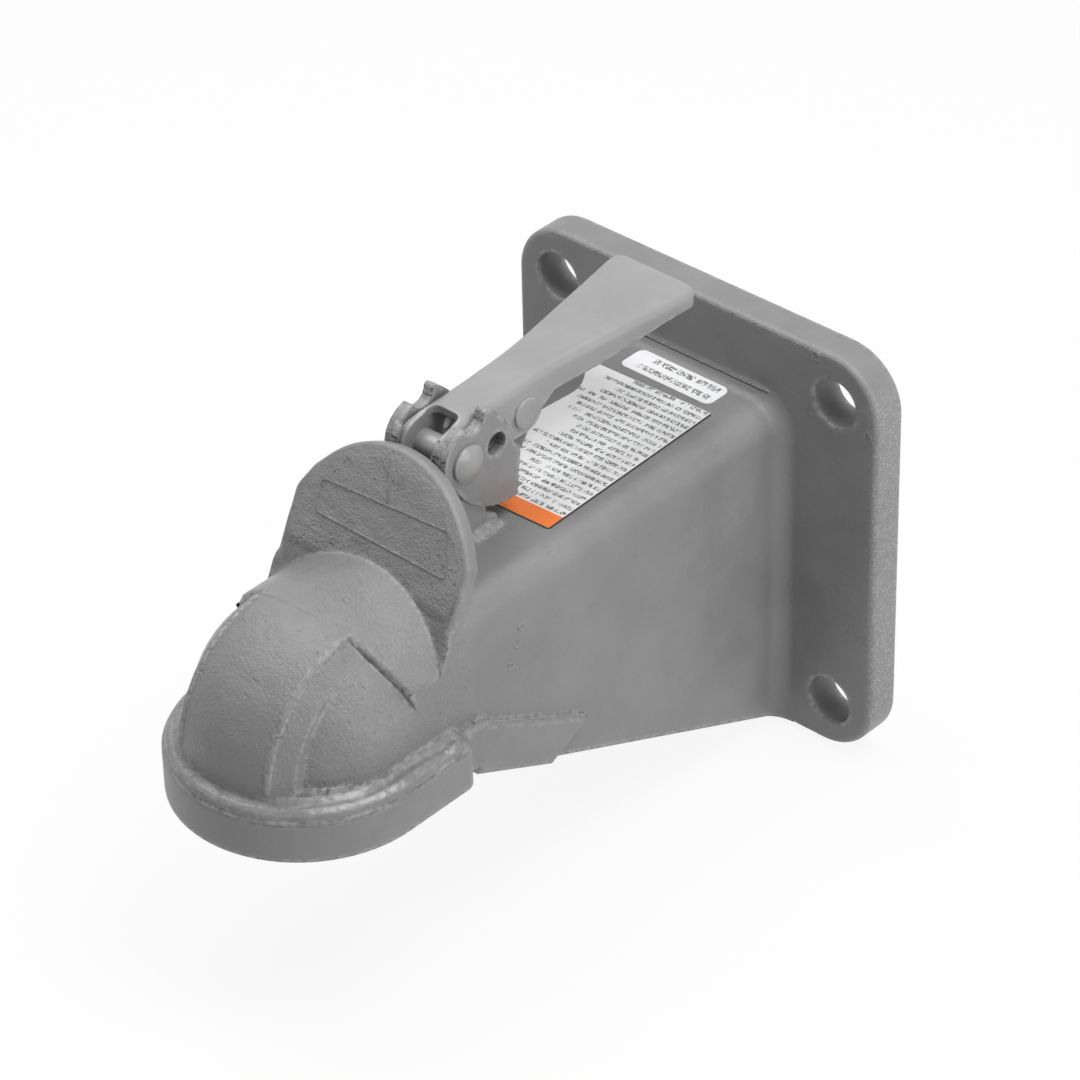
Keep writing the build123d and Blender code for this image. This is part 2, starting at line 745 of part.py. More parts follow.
def clamp_spring():
    """Torsion spring on the clamp pin: one leg under the clamp arm, one up to the ceiling."""
    leg_x = clamp_spring_tip_x - clamp_pin_x
    leg_z = clamp_spring_tip_z - clamp_pin_z
    start = math.atan2(leg_z, leg_x) + math.acos(clamp_spring_mean_r / math.hypot(leg_x, leg_z))
    wire_r = clamp_spring_wire / 2
    near_y = clamp_spring_side + wire_r
    rise = lug_inner - running_gap - wire_r - near_y
    turn = 2 * math.pi * clamp_spring_turns - start
    points = []
    for step in range(spring_points + 1):
        angle = start + turn * step / spring_points
        x = clamp_pin_x + clamp_spring_mean_r * math.cos(angle)
        z = clamp_pin_z + clamp_spring_mean_r * math.sin(angle)
        points.append(Vector(x, near_y + rise * step / spring_points, z))
    tip = Vector(clamp_spring_tip_x, near_y, clamp_spring_tip_z)
    leg = points[0] - tip
    bend = clamp_spring_bend_r
    inward = Vector(0, -1, 0)
    legs = [
        tip + inward * clamp_spring_tip_length,
        tip + inward * 2 * bend,
        tip + inward * bend,
        tip + (inward + leg.normalized()) * bend * 0.29,
        tip + leg.normalized() * bend,
        tip + leg / 3,
        tip + leg * 2 / 3,
    ]
    last = points[-1]
    top_z = ceiling_z - running_gap
    stops = [Vector(last.X, last.Y, (last.Z + top_z) / 2), Vector(last.X, last.Y, top_z)]
    path = Spline(*(legs + points + stops))
    return sweep(Plane(origin=path @ 0, z_dir=path % 0) * Circle(wire_r), path=path)


def large_sticker():
    """Thin sticker on the top face, notched round the feet of the ears."""
    place = Pos(large_sticker_x, large_sticker_y) * Rot(0, 0, sticker_turn)
    outline = place * RectangleRounded(large_sticker_length, large_sticker_width, 1.5)
    shape = extrude(Pos(0, 0, body_top_z) * outline, sticker_thickness)
    notch = Box(60, 2 * ear_outer, 4, align=(Align.MIN, Align.CENTER, Align.CENTER))
    return shape - Pos(link_slot_rear_x - 1, 0, body_top_z) * notch


def small_sticker():
    """Small rounded sticker behind the large one, its rear edge riding up the flange root."""
    outline = Pos(small_sticker_x, small_sticker_y) * RectangleRounded(
        small_sticker_width, small_sticker_length, 2.5
    )
    column = extrude(Pos(0, 0, body_top_z - 1) * outline, flange_root_r)
    flat_x = flange_thickness + flange_root_r
    bend = Pos(flat_x, body_top_z + flange_root_r) * (
        Circle(flange_root_r) - Circle(flange_root_r - sticker_thickness)
    )
    quarter = Pos(flat_x, body_top_z) * Rectangle(flange_root_r, flange_root_r, align=(Align.MAX, Align.MIN))
    level = Pos(flat_x, body_top_z) * Rectangle(
        small_sticker_width, sticker_thickness, align=(Align.MIN, Align.MIN)
    )
    skin = extrude(Plane.XZ * ((bend & quarter) + level), flange_side / 2, both=True)
    return skin & column


nodes = {
    "coupler_casting": casting(),
    "latch_lever": lever(),
    "lever_pin": lever_pin(),
    "catch": catch(),
    "catch_pin": catch_pin(),
    "catch_spring": catch_spring(),
    "pull_link": pull_link(),
    "link_pin": link_pin(),
    "ball_clamp": ball_clamp(),
    "clamp_pin": clamp_pin(),
    "clamp_pin_clip": clamp_pin_clip(),
    "clamp_spring": clamp_spring(),
    "large_sticker": large_sticker(),
    "small_sticker": small_sticker(),
}

for name, shape in nodes.items():
    export_step(shape, f"parts/{name}.step")
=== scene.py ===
import math

import bmesh
import bpy
from mathutils import Matrix, Vector, geometry, noise


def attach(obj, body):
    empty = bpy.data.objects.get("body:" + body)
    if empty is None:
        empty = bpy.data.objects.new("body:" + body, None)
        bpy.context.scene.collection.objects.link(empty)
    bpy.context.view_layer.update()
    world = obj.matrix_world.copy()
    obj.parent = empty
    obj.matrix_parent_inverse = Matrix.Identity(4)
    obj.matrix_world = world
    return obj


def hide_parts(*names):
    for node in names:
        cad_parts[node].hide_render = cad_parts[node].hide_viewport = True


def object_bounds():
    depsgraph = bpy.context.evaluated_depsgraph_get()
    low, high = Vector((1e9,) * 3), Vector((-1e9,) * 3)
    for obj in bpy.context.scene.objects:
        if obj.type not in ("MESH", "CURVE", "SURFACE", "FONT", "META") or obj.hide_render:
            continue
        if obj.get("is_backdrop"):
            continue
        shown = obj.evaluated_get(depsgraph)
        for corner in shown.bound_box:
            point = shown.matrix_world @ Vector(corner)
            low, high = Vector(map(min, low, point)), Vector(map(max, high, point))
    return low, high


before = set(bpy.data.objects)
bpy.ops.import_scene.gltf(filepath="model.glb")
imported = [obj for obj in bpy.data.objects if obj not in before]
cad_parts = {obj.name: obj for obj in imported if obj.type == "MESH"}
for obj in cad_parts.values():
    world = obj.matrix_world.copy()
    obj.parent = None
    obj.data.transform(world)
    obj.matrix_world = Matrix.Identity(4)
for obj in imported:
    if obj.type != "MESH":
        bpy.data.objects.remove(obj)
cad_low, cad_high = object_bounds()


# The photographer's camera: a long lens, in front of the head, to its left and well above it.
camera_place = (1.046419, 0.881509, 0.940040)
camera_right = (-0.667275, 0.744583, -0.018428)
camera_up = (-0.439949, -0.374065, 0.816407)
camera_forward = (-0.600990, -0.552876, -0.577182)
camera_data = bpy.data.cameras.new("camera")
camera_data.sensor_width = 36.0
camera_data.lens = 166.667
camera_data.clip_end = 20.0
camera = bpy.data.objects.new("camera", camera_data)
bpy.context.collection.objects.link(camera)
back = -Vector(camera_forward)
turn = Matrix((camera_right, camera_up, back)).transposed()
camera.matrix_world = Matrix.Translation(camera_place) @ turn.to_4x4()
bpy.context.scene.camera = camera
bpy.context.scene.view_settings.view_transform = "Standard"


# Soft studio light: a white panel above each side of the head and one beside the near wall.
# All of them face the middle of the head.
head_middle = Vector((0.11, 0.0, 0.01))


def soft_panel(name, place, size, power):
    """A square soft light that faces the head."""
    data = bpy.data.lights.new(name, "AREA")
    data.shape = "SQUARE"
    data.size = size
    data.energy = power
    panel = bpy.data.objects.new(name, data)
    bpy.context.collection.objects.link(panel)
    aim = head_middle - Vector(place)
    panel.matrix_world = Matrix.Translation(place) @ aim.to_track_quat("-Z", "Y").to_matrix().to_4x4()


soft_panel("overhead_light", (0.0, 0.55, 1.3), 0.7, 13.0)
soft_panel("far_light", (0.1, -0.6, 1.25), 0.9, 11.0)
soft_panel("side_light", (-0.1, 1.5, 0.45), 0.8, 8.0)

world = bpy.data.worlds.new("studio")
world.use_nodes = True
bpy.context.scene.world = world


def seen_rays(nodes, links, share):
    """A share for the rays that see a white background, from camera, mirrors and glass, else 0."""
    rays = nodes.new("ShaderNodeLightPath")
    value = rays.outputs["Is Camera Ray"]
    for name in ("Is Glossy Ray", "Is Transmission Ray"):
        larger = nodes.new("ShaderNodeMath")
        larger.operation = "MAXIMUM"
        links.new(value, larger.inputs[0])
        links.new(rays.outputs[name], larger.inputs[1])
        value = larger.outputs[0]
    scaled = nodes.new("ShaderNodeMath")
    scaled.operation = "MULTIPLY"
    links.new(value, scaled.inputs[0])
    scaled.inputs[1].default_value = share
    return scaled.outputs[0]


nodes = world.node_tree.nodes
links = world.node_tree.links
ambient = nodes["Background"]
ambient.inputs["Color"].default_value = (1.0, 1.0, 1.0, 1.0)
ambient.inputs["Strength"].default_value = 0.18
white = nodes.new("ShaderNodeBackground")
white.inputs["Color"].default_value = (1.0, 1.0, 1.0, 1.0)
white.inputs["Strength"].default_value = 1.0
choose = nodes.new("ShaderNodeMixShader")
links.new(seen_rays(nodes, links, 1.0), choose.inputs["Fac"])
links.new(ambient.outputs["Background"], choose.inputs[1])
links.new(white.outputs["Background"], choose.inputs[2])
links.new(choose.outputs["Shader"], nodes["World Output"].inputs["Surface"])


# The studio floor: a plain pale sheet just under the lowest edge of the flange.
# It shows nearly white to the camera and keeps a faint soft shadow of the head.
floor_half = 3.0
floor_gap = 0.002
floor_z = cad_low[2] - floor_gap
floor_mesh = bpy.data.meshes.new("studio_floor")
floor_mesh.from_pydata(
    [
        (-floor_half, -floor_half, floor_z),
        (floor_half, -floor_half, floor_z),
        (floor_half, floor_half, floor_z),
        (-floor_half, floor_half, floor_z),
    ],
    [],
    [(0, 1, 2, 3)],
)
floor = bpy.data.objects.new("studio_floor", floor_mesh)
bpy.context.collection.objects.link(floor)
floor_paint = bpy.data.materials.new("floor_paint")
floor_paint.use_nodes = True
nodes = floor_paint.node_tree.nodes
links = floor_paint.node_tree.links
matt = nodes["Principled BSDF"]
matt.inputs["Base Color"].default_value = (0.8, 0.8, 0.8, 1.0)
matt.inputs["Roughness"].default_value = 0.9
glow = nodes.new("ShaderNodeEmission")
glow.inputs["Strength"].default_value = 1.0
choose = nodes.new("ShaderNodeMixShader")
links.new(seen_rays(nodes, links, 0.9), choose.inputs["Fac"])
links.new(matt.outputs["BSDF"], choose.inputs[1])
links.new(glow.outputs["Emission"], choose.inputs[2])
links.new(choose.outputs["Shader"], nodes["Material Output"].inputs["Surface"])
floor_mesh.materials.append(floor_paint)
floor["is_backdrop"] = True


# The head itself: one steel casting from a sand mould, flange, body, ball socket, shield and ears.
# It is the CAD solid with the cast forms that show in the photograph worked on: the hood's front
# edge, the shield's full cheeks, the bead round the dome's foot, the ears and small mould marks.
def shape_from(name, *forms):
    """A closed mesh object from forms of corners, in millimetres, and faces."""
    corners = []
    faces = []
    for form_corners, form_faces in forms:
        start = len(corners)
        corners += [Vector(corner) / 1000 for corner in form_corners]
        faces += [tuple(start + index for index in face) for face in form_faces]
    mesh = bpy.data.meshes.new(name)
    mesh.from_pydata(corners, [], faces)
    work = bmesh.new()
    work.from_mesh(mesh)
    bmesh.ops.recalc_face_normals(work, faces=work.faces)
    work.to_mesh(mesh)
    work.free()
    shape = bpy.data.objects.new(name, mesh)
    bpy.context.collection.objects.link(shape)
    return shape


def stacked(rings):
    """A form from rings of corners, one above the other, closed at both ends."""
    count = len(rings[0])
    corners = [corner for ring in rings for corner in ring]
    faces = [tuple(range(count)), tuple(range(len(corners) - count, len(corners)))]
    for level in range(len(rings) - 1):
        for index in range(count):
            low = level * count
            after = (index + 1) % count
            faces.append((low + index, low + after, low + count + after, low + count + index))
    return corners, faces


def side_plate(outline, y_from, y_to):
    """A plate with a side outline of (x, z) corners, between two places across the head."""
    return stacked([[(x, y, z) for x, z in outline] for y in (y_from, y_to)])


def block(low, high):
    """A plain box form."""
    outline = [(low[0], low[2]), (high[0], low[2]), (high[0], high[2]), (low[0], high[2])]
    return side_plate(outline, low[1], high[1])


def arc(centre, radius, start, end, steps):
    """Corners along an arc in a plane, with its angles in degrees."""
    corners = []
    for step in range(steps + 1):
        angle = math.radians(start + (end - start) * step / steps)
        corners.append((centre[0] + radius * math.cos(angle), centre[1] + radius * math.sin(angle)))
    return corners


def bar(x, z, radius, y_from, y_to):
    """A round bar form across the head."""
    return side_plate(arc((x, z), radius, 0, 352.5, 47), y_from, y_to)


def settled(shape):
    """The shape with its modifiers worked into its mesh."""
    graph = bpy.context.evaluated_depsgraph_get()
    mesh = bpy.data.meshes.new_from_object(shape.evaluated_get(graph))
    shape.modifiers.clear()
    shape.data = mesh
    return shape


def combined(shape, other, operation):
    """A shape joined with, cut by or kept inside another, which is used up."""
    join = shape.modifiers.new("join", "BOOLEAN")
    join.operation = operation
    join.solver = "EXACT"
    join.object = other
    settled(shape)
    bpy.data.objects.remove(other)
    return shape


def rounded(shape, radius, steps=3):
    """A shape with its sharp edges rounded, in millimetres."""
    bevel = shape.modifiers.new("round", "BEVEL")
    bevel.width = radius / 1000
    bevel.segments = steps
    bevel.limit_method = "ANGLE"
    bevel.angle_limit = math.radians(28)
    return settled(shape)


def ridge(path, radii, up, closed=False):
    """A round ridge form that follows a path of corners lying on one flat face."""
    sides = 10
    up = Vector(up)
    path = [Vector(corner) for corner in path]
    rings = []
    for index, corner in enumerate(path):
        before = path[index - 1] if index or closed else corner
        after = path[(index + 1) % len(path)] if index < len(path) - 1 or closed else corner
        across = (after - before).normalized().cross(up)
        ring = []
        for side in range(sides):
            angle = 2 * math.pi * side / sides
            ring.append(corner + radii[index] * (math.cos(angle) * across + math.sin(angle) * up))
        rings.append(ring)
    if not closed:
        return stacked(rings)
    corners, faces = stacked(rings)
    faces = faces[2:]
    last = len(corners) - sides
    for side in range(sides):
        after = (side + 1) % sides
        faces.append((last + side, last + after, after, side))
    return corners, faces


def cad_copy(name, node):
    """A new object with the CAD piece's own shape, its faces welded along their edges."""
    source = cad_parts[node].data
    mesh = bpy.data.meshes.new(name)
    corners = [corner.co[:] for corner in source.vertices]
    mesh.from_pydata(corners, [], [face.vertices[:] for face in source.polygons])
    work = bmesh.new()
    work.from_mesh(mesh)
    bmesh.ops.remove_doubles(work, verts=work.verts, dist=0.000002)
    work.to_mesh(mesh)
    work.free()
    piece = bpy.data.objects.new(name, mesh)
    bpy.context.collection.objects.link(piece)
    return piece


casting = cad_copy("head_casting", "coupler_casting")

# The hood's front edge ends in the round crown, so it doesn't stand over the spine.
crown_x = 193.2
crown_z = 10.3
crown_r = 42.95
spine_half = 18.3
overhang_length = 24.0
overhang_z = (36.0, 62.0)
overhang_low = (crown_x, -spine_half, overhang_z[0])
overhang_high = (crown_x + overhang_length, spine_half, overhang_z[1])
overhang = shape_from("overhang", block(overhang_low, overhang_high))
crown_mesh = bpy.data.meshes.new("crown")
work = bmesh.new()
crown_place = Matrix.Translation((crown_x / 1000, 0, crown_z / 1000))
bmesh.ops.create_icosphere(work, subdivisions=6, radius=crown_r / 1000, matrix=crown_place)
work.to_mesh(crown_mesh)
work.free()
crown = bpy.data.objects.new("crown", crown_mesh)
bpy.context.collection.objects.link(crown)
combined(casting, combined(overhang, crown, "DIFFERENCE"), "DIFFERENCE")

# The hood's front edge on each side is rolled, and leans back towards its foot.
hood_r = 42.9
wall_half = 36.87
roll_r = 2.6
hood_lean = math.tan(math.radians(22.8))
hood_apex_x = 195.0
hood_apex_z = 49.0
hood_foot_angle = -9
hood_apex_angle = 64.7
hood_steps = 24
old_edge = {"inner_r": 40.2, "outer_r": 44.0, "roll": 0.01, "behind": 3.5}
new_edge = {"inner_r": 36.0, "outer_r": hood_r, "roll": roll_r, "behind": 9.0}
# Keeps two faces from lying in one plane.
face_gap = 0.02


def hood_front(radius, angle):
    """Place along the head of the hood's front face, at a radius and an angle round its axis."""
    return hood_apex_x + hood_lean * (crown_z + radius * math.sin(angle) - hood_apex_z)


def hood_cheek(side, inner_r, outer_r, roll, behind):
    """One side of the hood, as a bent bar behind its front edge."""
    rings = []
    sweep = hood_apex_angle - hood_foot_angle
    for step in range(hood_steps + 1):
        angle = math.radians(hood_foot_angle + sweep * step / hood_steps)
        section = [(hood_front(inner_r, angle) - behind, inner_r)]
        section.append((hood_front(outer_r, angle) - behind, outer_r))
        for part in range(7):
            bend = math.radians(90 * part / 6)
            radius = outer_r - roll * (1 - math.cos(bend))
            section.append((hood_front(radius, angle) - roll * (1 - math.sin(bend)), radius))
        section.append((hood_front(inner_r, angle), inner_r))
        ring = []
        for x, radius in section:
            across = min(radius * math.cos(angle), wall_half - face_gap)
            ring.append((x, side * across, crown_z + radius * math.sin(angle)))
        rings.append(ring)
    return stacked(rings)


old_roll = shape_from("old_roll", *[hood_cheek(side, **old_edge) for side in (-1, 1)])
combined(casting, old_roll, "DIFFERENCE")
new_roll = shape_from("new_roll", *[hood_cheek(side, **new_edge) for side in (-1, 1)])
combined(casting, new_roll, "UNION")

# The shield: a round head over full cheeks that run straight down into the body. Its outline is
# the hull of arcs round the head and the cheeks' upper corners.
shield_lean = math.radians(24.9)
shield_normal = Vector((math.cos(shield_lean), 0, math.sin(shield_lean)))
shield_up = Vector((-math.sin(shield_lean), 0, math.cos(shield_lean)))
shield_foot = Vector((161.6, 0, 60))
shield_thickness = 6.3
shield_edge_r = 1.6
shield_head_r = 36.2
shield_head_v = -7.0
cheek_corner_r = 8.0
shield_side = [(35.4, -20.9), (36.2, 3.5), (29.5, 15.6), (-29.5, 15.6)]
cheeks = []
for before, corner, after in zip(shield_side, shield_side[1:], shield_side[2:]):
    to_before = (Vector(before) - Vector(corner)).normalized()
    to_after = (Vector(after) - Vector(corner)).normalized()
    reach = cheek_corner_r / math.sin(to_before.angle(to_after) / 2)
    centre = Vector(corner) + reach * (to_before + to_after).normalized()
    cheeks += arc(centre, cheek_corner_r, -20, 110, 26)
cheeks.append(shield_side[0])
cheeks += [(-y, v) for y, v in cheeks]
cheeks += arc((0, shield_head_v), shield_head_r, -10, 190, 100)
shield_outline = [cheeks[index] for index in geometry.convex_hull_2d([Vector(c) for c in cheeks])]


def on_shield(y, v, proud):
    """A place over the shield's front face, from its two directions in the plane."""
    return shield_foot + Vector((0, y, 0)) + v * shield_up + proud * shield_normal


shield_rings = [
    [on_shield(y, v, proud) for y, v in shield_outline]
    for proud in (face_gap, -shield_thickness - face_gap)
]
shield = rounded(shape_from("shield", stacked(shield_rings)), shield_edge_r)
combined(casting, shield, "UNION")

# The lower strip on each side wall runs forward to the rim.
strip_x = (156, 172)
strip_y = (35.0, 39.6)
strip_z = (-9.3, 7.3)
strip_edge_r = 1.2
strips = []
for side in (-1, 1):
    inner, outer = zip(strip_x, [side * y for y in strip_y], strip_z)
    strips.append(block(inner, outer))
combined(casting, rounded(shape_from("strips", *strips), strip_edge_r), "UNION")

# The bead of metal round the dome's foot, thick on the near side and thin on the far one.
ball_x = 197.3
bead_r = 40.5
bead_z = 5.7
bead_rear_x = 169.0
bead_step = 2
bead_thin = 2.3
bead_swell = 0.8
wander_length = 9
path_wander = 0.5
radius_wander = 0.4
bead_plan = [(bead_rear_x + bead_step * step, bead_r) for step in range(14)]
bead_plan += arc((ball_x, 0), bead_r, 90, -90, 60)
bead_plan += [(ball_x - bead_step * step, -bead_r) for step in range(1, 13)]
bead_path = []
bead_radii = []
for index, (x, y) in enumerate(bead_plan):
    wander = noise.noise(Vector((x, y, 0)) / wander_length)
    bead_path.append((x, y + path_wander * wander, bead_z + path_wander * wander))
    near = (y + bead_r) / (2 * bead_r)
    tapered = min(1.0, (index + 1) / 3)
    bead_radii.append(tapered * (bead_thin + bead_swell * near + radius_wander * wander))
combined(casting, shape_from("bead", ridge(bead_path, bead_radii, (0, 0, 1))), "UNION")

# The spine's two side edges are proud and round, from the hood down to the bead.
edge_rho = 38.3
edge_y = 17.9
edge_steps = 30
edge_radii = [0.7] + [1.3] * (edge_steps - 1) + [0.9]
edge_side = arc((crown_x, crown_z), edge_rho, 87, 2, edge_steps)
edges = []
for side in (-1, 1):
    path = [(x, side * edge_y, z) for x, z in edge_side]
    edges.append(ridge(path, edge_radii, (0, 1, 0)))
combined(casting, shape_from("spine_edges", *edges), "UNION")

# The ears, cast in one with the head: two plates on a short neck, with the catch ledge between.
ear_inner = 8.8
ear_outer = 12.6
body_top_z = 49.0
ledge_rear_x = 118.6
ledge_top_z = 66.0
ledge_under_z = 60.4
lock_x = 120.5
lock_z = 79.1
lock_r = 4.0


def bowed(start, end, radius, steps):
    """Corners along an arc of a given radius between two points, bulging to the right of the way."""
    start = Vector(start)
    end = Vector(end)
    half = (end - start) / 2
    away = Vector((-half.y, half.x)).normalized() * math.sqrt(radius**2 - half.length**2)
    centre = start + half + away
    first = math.degrees(math.atan2(start.y - centre.y, start.x - centre.x))
    last = math.degrees(math.atan2(end.y - centre.y, end.x - centre.x))
    if last < first:
        last += 360
    return arc(centre, radius, first, last, steps)


ear_edge_r = 0.9
ear_belly_r = 29.0
ear_back_r = 25.85
ear_heel = (111.8, 55.8)
ear_chin = (139.0, 70.9)
ear_nose = (132.8, 80.2)
ear_nose_r = 11.2
ear_scallop = (130.2, 92.7)
ear_scallop_r = 4.5
ear_tip = (124.42, 92.2)
ear_tip_r = 1.3
ear_crown = (123.68, 93.28)
ear_shoulder = (112.6, 75.3)
ear_step = (109.7, 73.0)
ear_side = [ear_step]
ear_side += bowed(ear_heel, ear_chin, ear_belly_r, 14)
ear_side += arc(ear_nose, ear_nose_r, -40, 81.4, 20)
ear_side += arc(ear_scallop, ear_scallop_r, -18.5, -175, 14)
ear_side += arc(ear_tip, ear_tip_r, 5, 124.2, 6)
ear_side += bowed(ear_crown, ear_shoulder, ear_back_r, 12)[1:]
ears = shape_from("ears", *[side_plate(ear_side, s * ear_inner, s * ear_outer) for s in (-1, 1)])
rounded(ears, ear_edge_r)
ledge_side = [
    (ledge_rear_x, ledge_under_z),
    (ledge_rear_x, ledge_top_z),
    (137.0, ledge_top_z),
    (141.0, 55.0),
    (141.0, 45.0),
    (119.5, 45.0),
    (119.5, 52.0),
    (124.6, 55.0),
    (124.6, ledge_under_z),
]
neck_out = 11.6
neck_edge_r = 1.0
neck = shape_from("neck", side_plate(ledge_side, -neck_out, neck_out))
combined(ears, rounded(neck, neck_edge_r), "UNION")
root_low = (119.0, -14.0, 45.0)
root_high = (143.5, 14.0, 50.8)
root_edge_r = 1.7
root = shape_from("root", block(root_low, root_high))
combined(ears, rounded(root, root_edge_r, 5), "UNION")
lock_reach = 20
lock_hole = shape_from("lock_hole", bar(lock_x, lock_z, lock_r, -lock_reach, lock_reach))
combined(ears, lock_hole, "DIFFERENCE")

# The plainer ears of the solid are cut away just above the body's top before these go on.
old_half = 12.5
old_side = [(95, 49.04), (158.5, 49.04), (137.6, 96), (95, 96)]
old_ears = shape_from("old_ears", side_plate(old_side, -old_half, old_half))
combined(casting, old_ears, "DIFFERENCE")
combined(casting, ears, "UNION")

# Mould marks: small rings on the near wall and the flange, the frame of the bare field on the
# shield and a parting line above it.
flange_thickness = 12.7
wall_rings = ((138, 31), (140, 25.3), (143, 18.5))
wall_ring_r = 1.05
flange_rings = ((50.9, 73.6), (72.3, 52.3))
flange_ring_r = 1.5
ring_line = 0.35
marks = []
for x, z in wall_rings:
    ring = [(px, wall_half, pz) for px, pz in arc((x, z), wall_ring_r, 0, 345, 23)]
    marks.append(ridge(ring, [ring_line] * len(ring), (0, 1, 0), closed=True))
for y, z in flange_rings:
    ring = [(flange_thickness, py, pz) for py, pz in arc((y, z), flange_ring_r, 0, 345, 23)]
    marks.append(ridge(ring, [ring_line] * len(ring), (1, 0, 0), closed=True))
field = [(-26.5, 9.5), (25.9, 12.3), (28.9, -2.0), (-26.0, -1.1)]
field_corner = 2.0
field_line = 0.3
frame_path = []
for index, corner in enumerate(field):
    here = Vector(corner)
    before = (Vector(field[index - 1]) - here).normalized()
    after = (Vector(field[(index + 1) % 4]) - here).normalized()
    for step in range(5):
        share = step / 4
        frame_path.append(here + field_corner * ((1 - share) ** 2 * before + share**2 * after))
frame_path = [on_shield(y, v, face_gap) for y, v in frame_path]
marks.append(ridge(frame_path, [field_line] * len(frame_path), shield_normal, closed=True))
parting_top = (-2.7, 24.6)
parting_run = (2.7, -12.1)
parting_radii = [0.15, 0.25, 0.35, 0.35, 0.35, 0.3, 0.15]
parting = []
for step in range(len(parting_radii)):
    y, v = [top + run * step / 6 for top, run in zip(parting_top, parting_run)]
    parting.append(on_shield(y, v, face_gap))
marks.append(ridge(parting, parting_radii, shield_normal))
combined(casting, shape_from("marks", *marks), "UNION")


def smooth_shaded(piece):
    """Smooth shading, with creases kept where faces meet at more than 32 degrees."""
    piece.data.shade_smooth()
    piece.data.set_sharp_from_angle(angle=math.radians(32))


smooth_shaded(casting)


def new_group(name, inputs, outputs):
    """An empty shader group with named sockets, and its two end nodes."""
    group = bpy.data.node_groups.new(name, "ShaderNodeTree")
    for socket_name, kind, value in inputs:
        socket = group.interface.new_socket(socket_name, in_out="INPUT", socket_type=kind)
        socket.default_value = value
    for socket_name, kind in outputs:
        group.interface.new_socket(socket_name, in_out="OUTPUT", socket_type=kind)
    return group, group.nodes.new("NodeGroupInput"), group.nodes.new("NodeGroupOutput")


def math_node(tree, operation, first, second=0.0):
    """One Math node; each value is a number or a socket."""
    node = tree.nodes.new("ShaderNodeMath")
    node.operation = operation
    for socket, value in zip(node.inputs, (first, second)):
        if isinstance(value, (int, float)):
            socket.default_value = value
        else:
            tree.links.new(value, socket)
    return node.outputs[0]


def ranged(tree, value, low, high, low_out=0.0, high_out=1.0):
    """A value rescaled from one range to another, with a soft start and end."""
    node = tree.nodes.new("ShaderNodeMapRange")
    node.interpolation_type = "SMOOTHSTEP"
    node.inputs["From Min"].default_value = low
    node.inputs["From Max"].default_value = high
    node.inputs["To Min"].default_value = low_out
    node.inputs["To Max"].default_value = high_out
    tree.links.new(value, node.inputs["Value"])
    return node.outputs["Result"]


def solid_noise(tree, scale, detail, roughness=0.5):
    """Solid noise in the object's own metres."""
    place = tree.nodes.new("ShaderNodeTexCoord")
    node = tree.nodes.new("ShaderNodeTexNoise")
    node.inputs["Detail"].default_value = detail
    node.inputs["Roughness"].default_value = roughness
    tree.links.new(place.outputs["Object"], node.inputs["Vector"])
    if isinstance(scale, (int, float)):
        node.inputs["Scale"].default_value = scale
    else:
        tree.links.new(scale, node.inputs["Scale"])
    return node.outputs["Fac"]


def make_cast_grain():
    """Height of a sand-cast skin: broad ripples, sand grain and a few pits."""
    group, start, end = new_group(
        "cast_grain",
        [("Grain Scale", "NodeSocketFloat", 900.0), ("Pit Depth", "NodeSocketFloat", 0.5)],
        [("Height", "NodeSocketFloat")],
    )
    grain_scale = start.outputs["Grain Scale"]
    grain = solid_noise(group, grain_scale, 3.0, 0.6)
    ripple = solid_noise(group, math_node(group, "MULTIPLY", grain_scale, 0.12), 2.0)
    pit_field = solid_noise(group, math_node(group, "MULTIPLY", grain_scale, 0.35), 1.0)
    pits = ranged(group, pit_field, 0.68, 0.76)
    deep = math_node(group, "MULTIPLY", pits, start.outputs["Pit Depth"])
    height = math_node(group, "ADD", grain, math_node(group, "MULTIPLY", ripple, 1.6))
    height = math_node(group, "SUBTRACT", height, deep)
    group.links.new(height, end.inputs["Height"])
    return group


def make_edge_wear():
    """Mask of rubbed edges: where the surface turns sharply outward, broken up by noise."""
    group, start, end = new_group(
        "edge_wear",
        [("Width", "NodeSocketFloat", 0.0015), ("Breakup", "NodeSocketFloat", 300.0)],
        [("Mask", "NodeSocketFloat"), ("Soft Normal", "NodeSocketVector")],
    )
    bevel = group.nodes.new("ShaderNodeBevel")
    bevel.samples = 6
    group.links.new(start.outputs["Width"], bevel.inputs["Radius"])
    soft = group.nodes.new("ShaderNodeBevel")
    soft.samples = 4
    soft_width = math_node(group, "MULTIPLY", start.outputs["Width"], 0.45)
    group.links.new(soft_width, soft.inputs["Radius"])
    flat = group.nodes.new("ShaderNodeNewGeometry")
    agree = group.nodes.new("ShaderNodeVectorMath")
    agree.operation = "DOT_PRODUCT"
    group.links.new(bevel.outputs["Normal"], agree.inputs[0])
    group.links.new(flat.outputs["Normal"], agree.inputs[1])
    edge = ranged(group, math_node(group, "SUBTRACT", 1.0, agree.outputs["Value"]), 0.015, 0.08)
    ragged = ranged(group, solid_noise(group, start.outputs["Breakup"], 4.0, 0.65), 0.40, 0.58)
    mask = math_node(group, "MULTIPLY", edge, ragged)
    group.links.new(mask, end.inputs["Mask"])
    group.links.new(soft.outputs["Normal"], end.inputs["Soft Normal"])
    return group


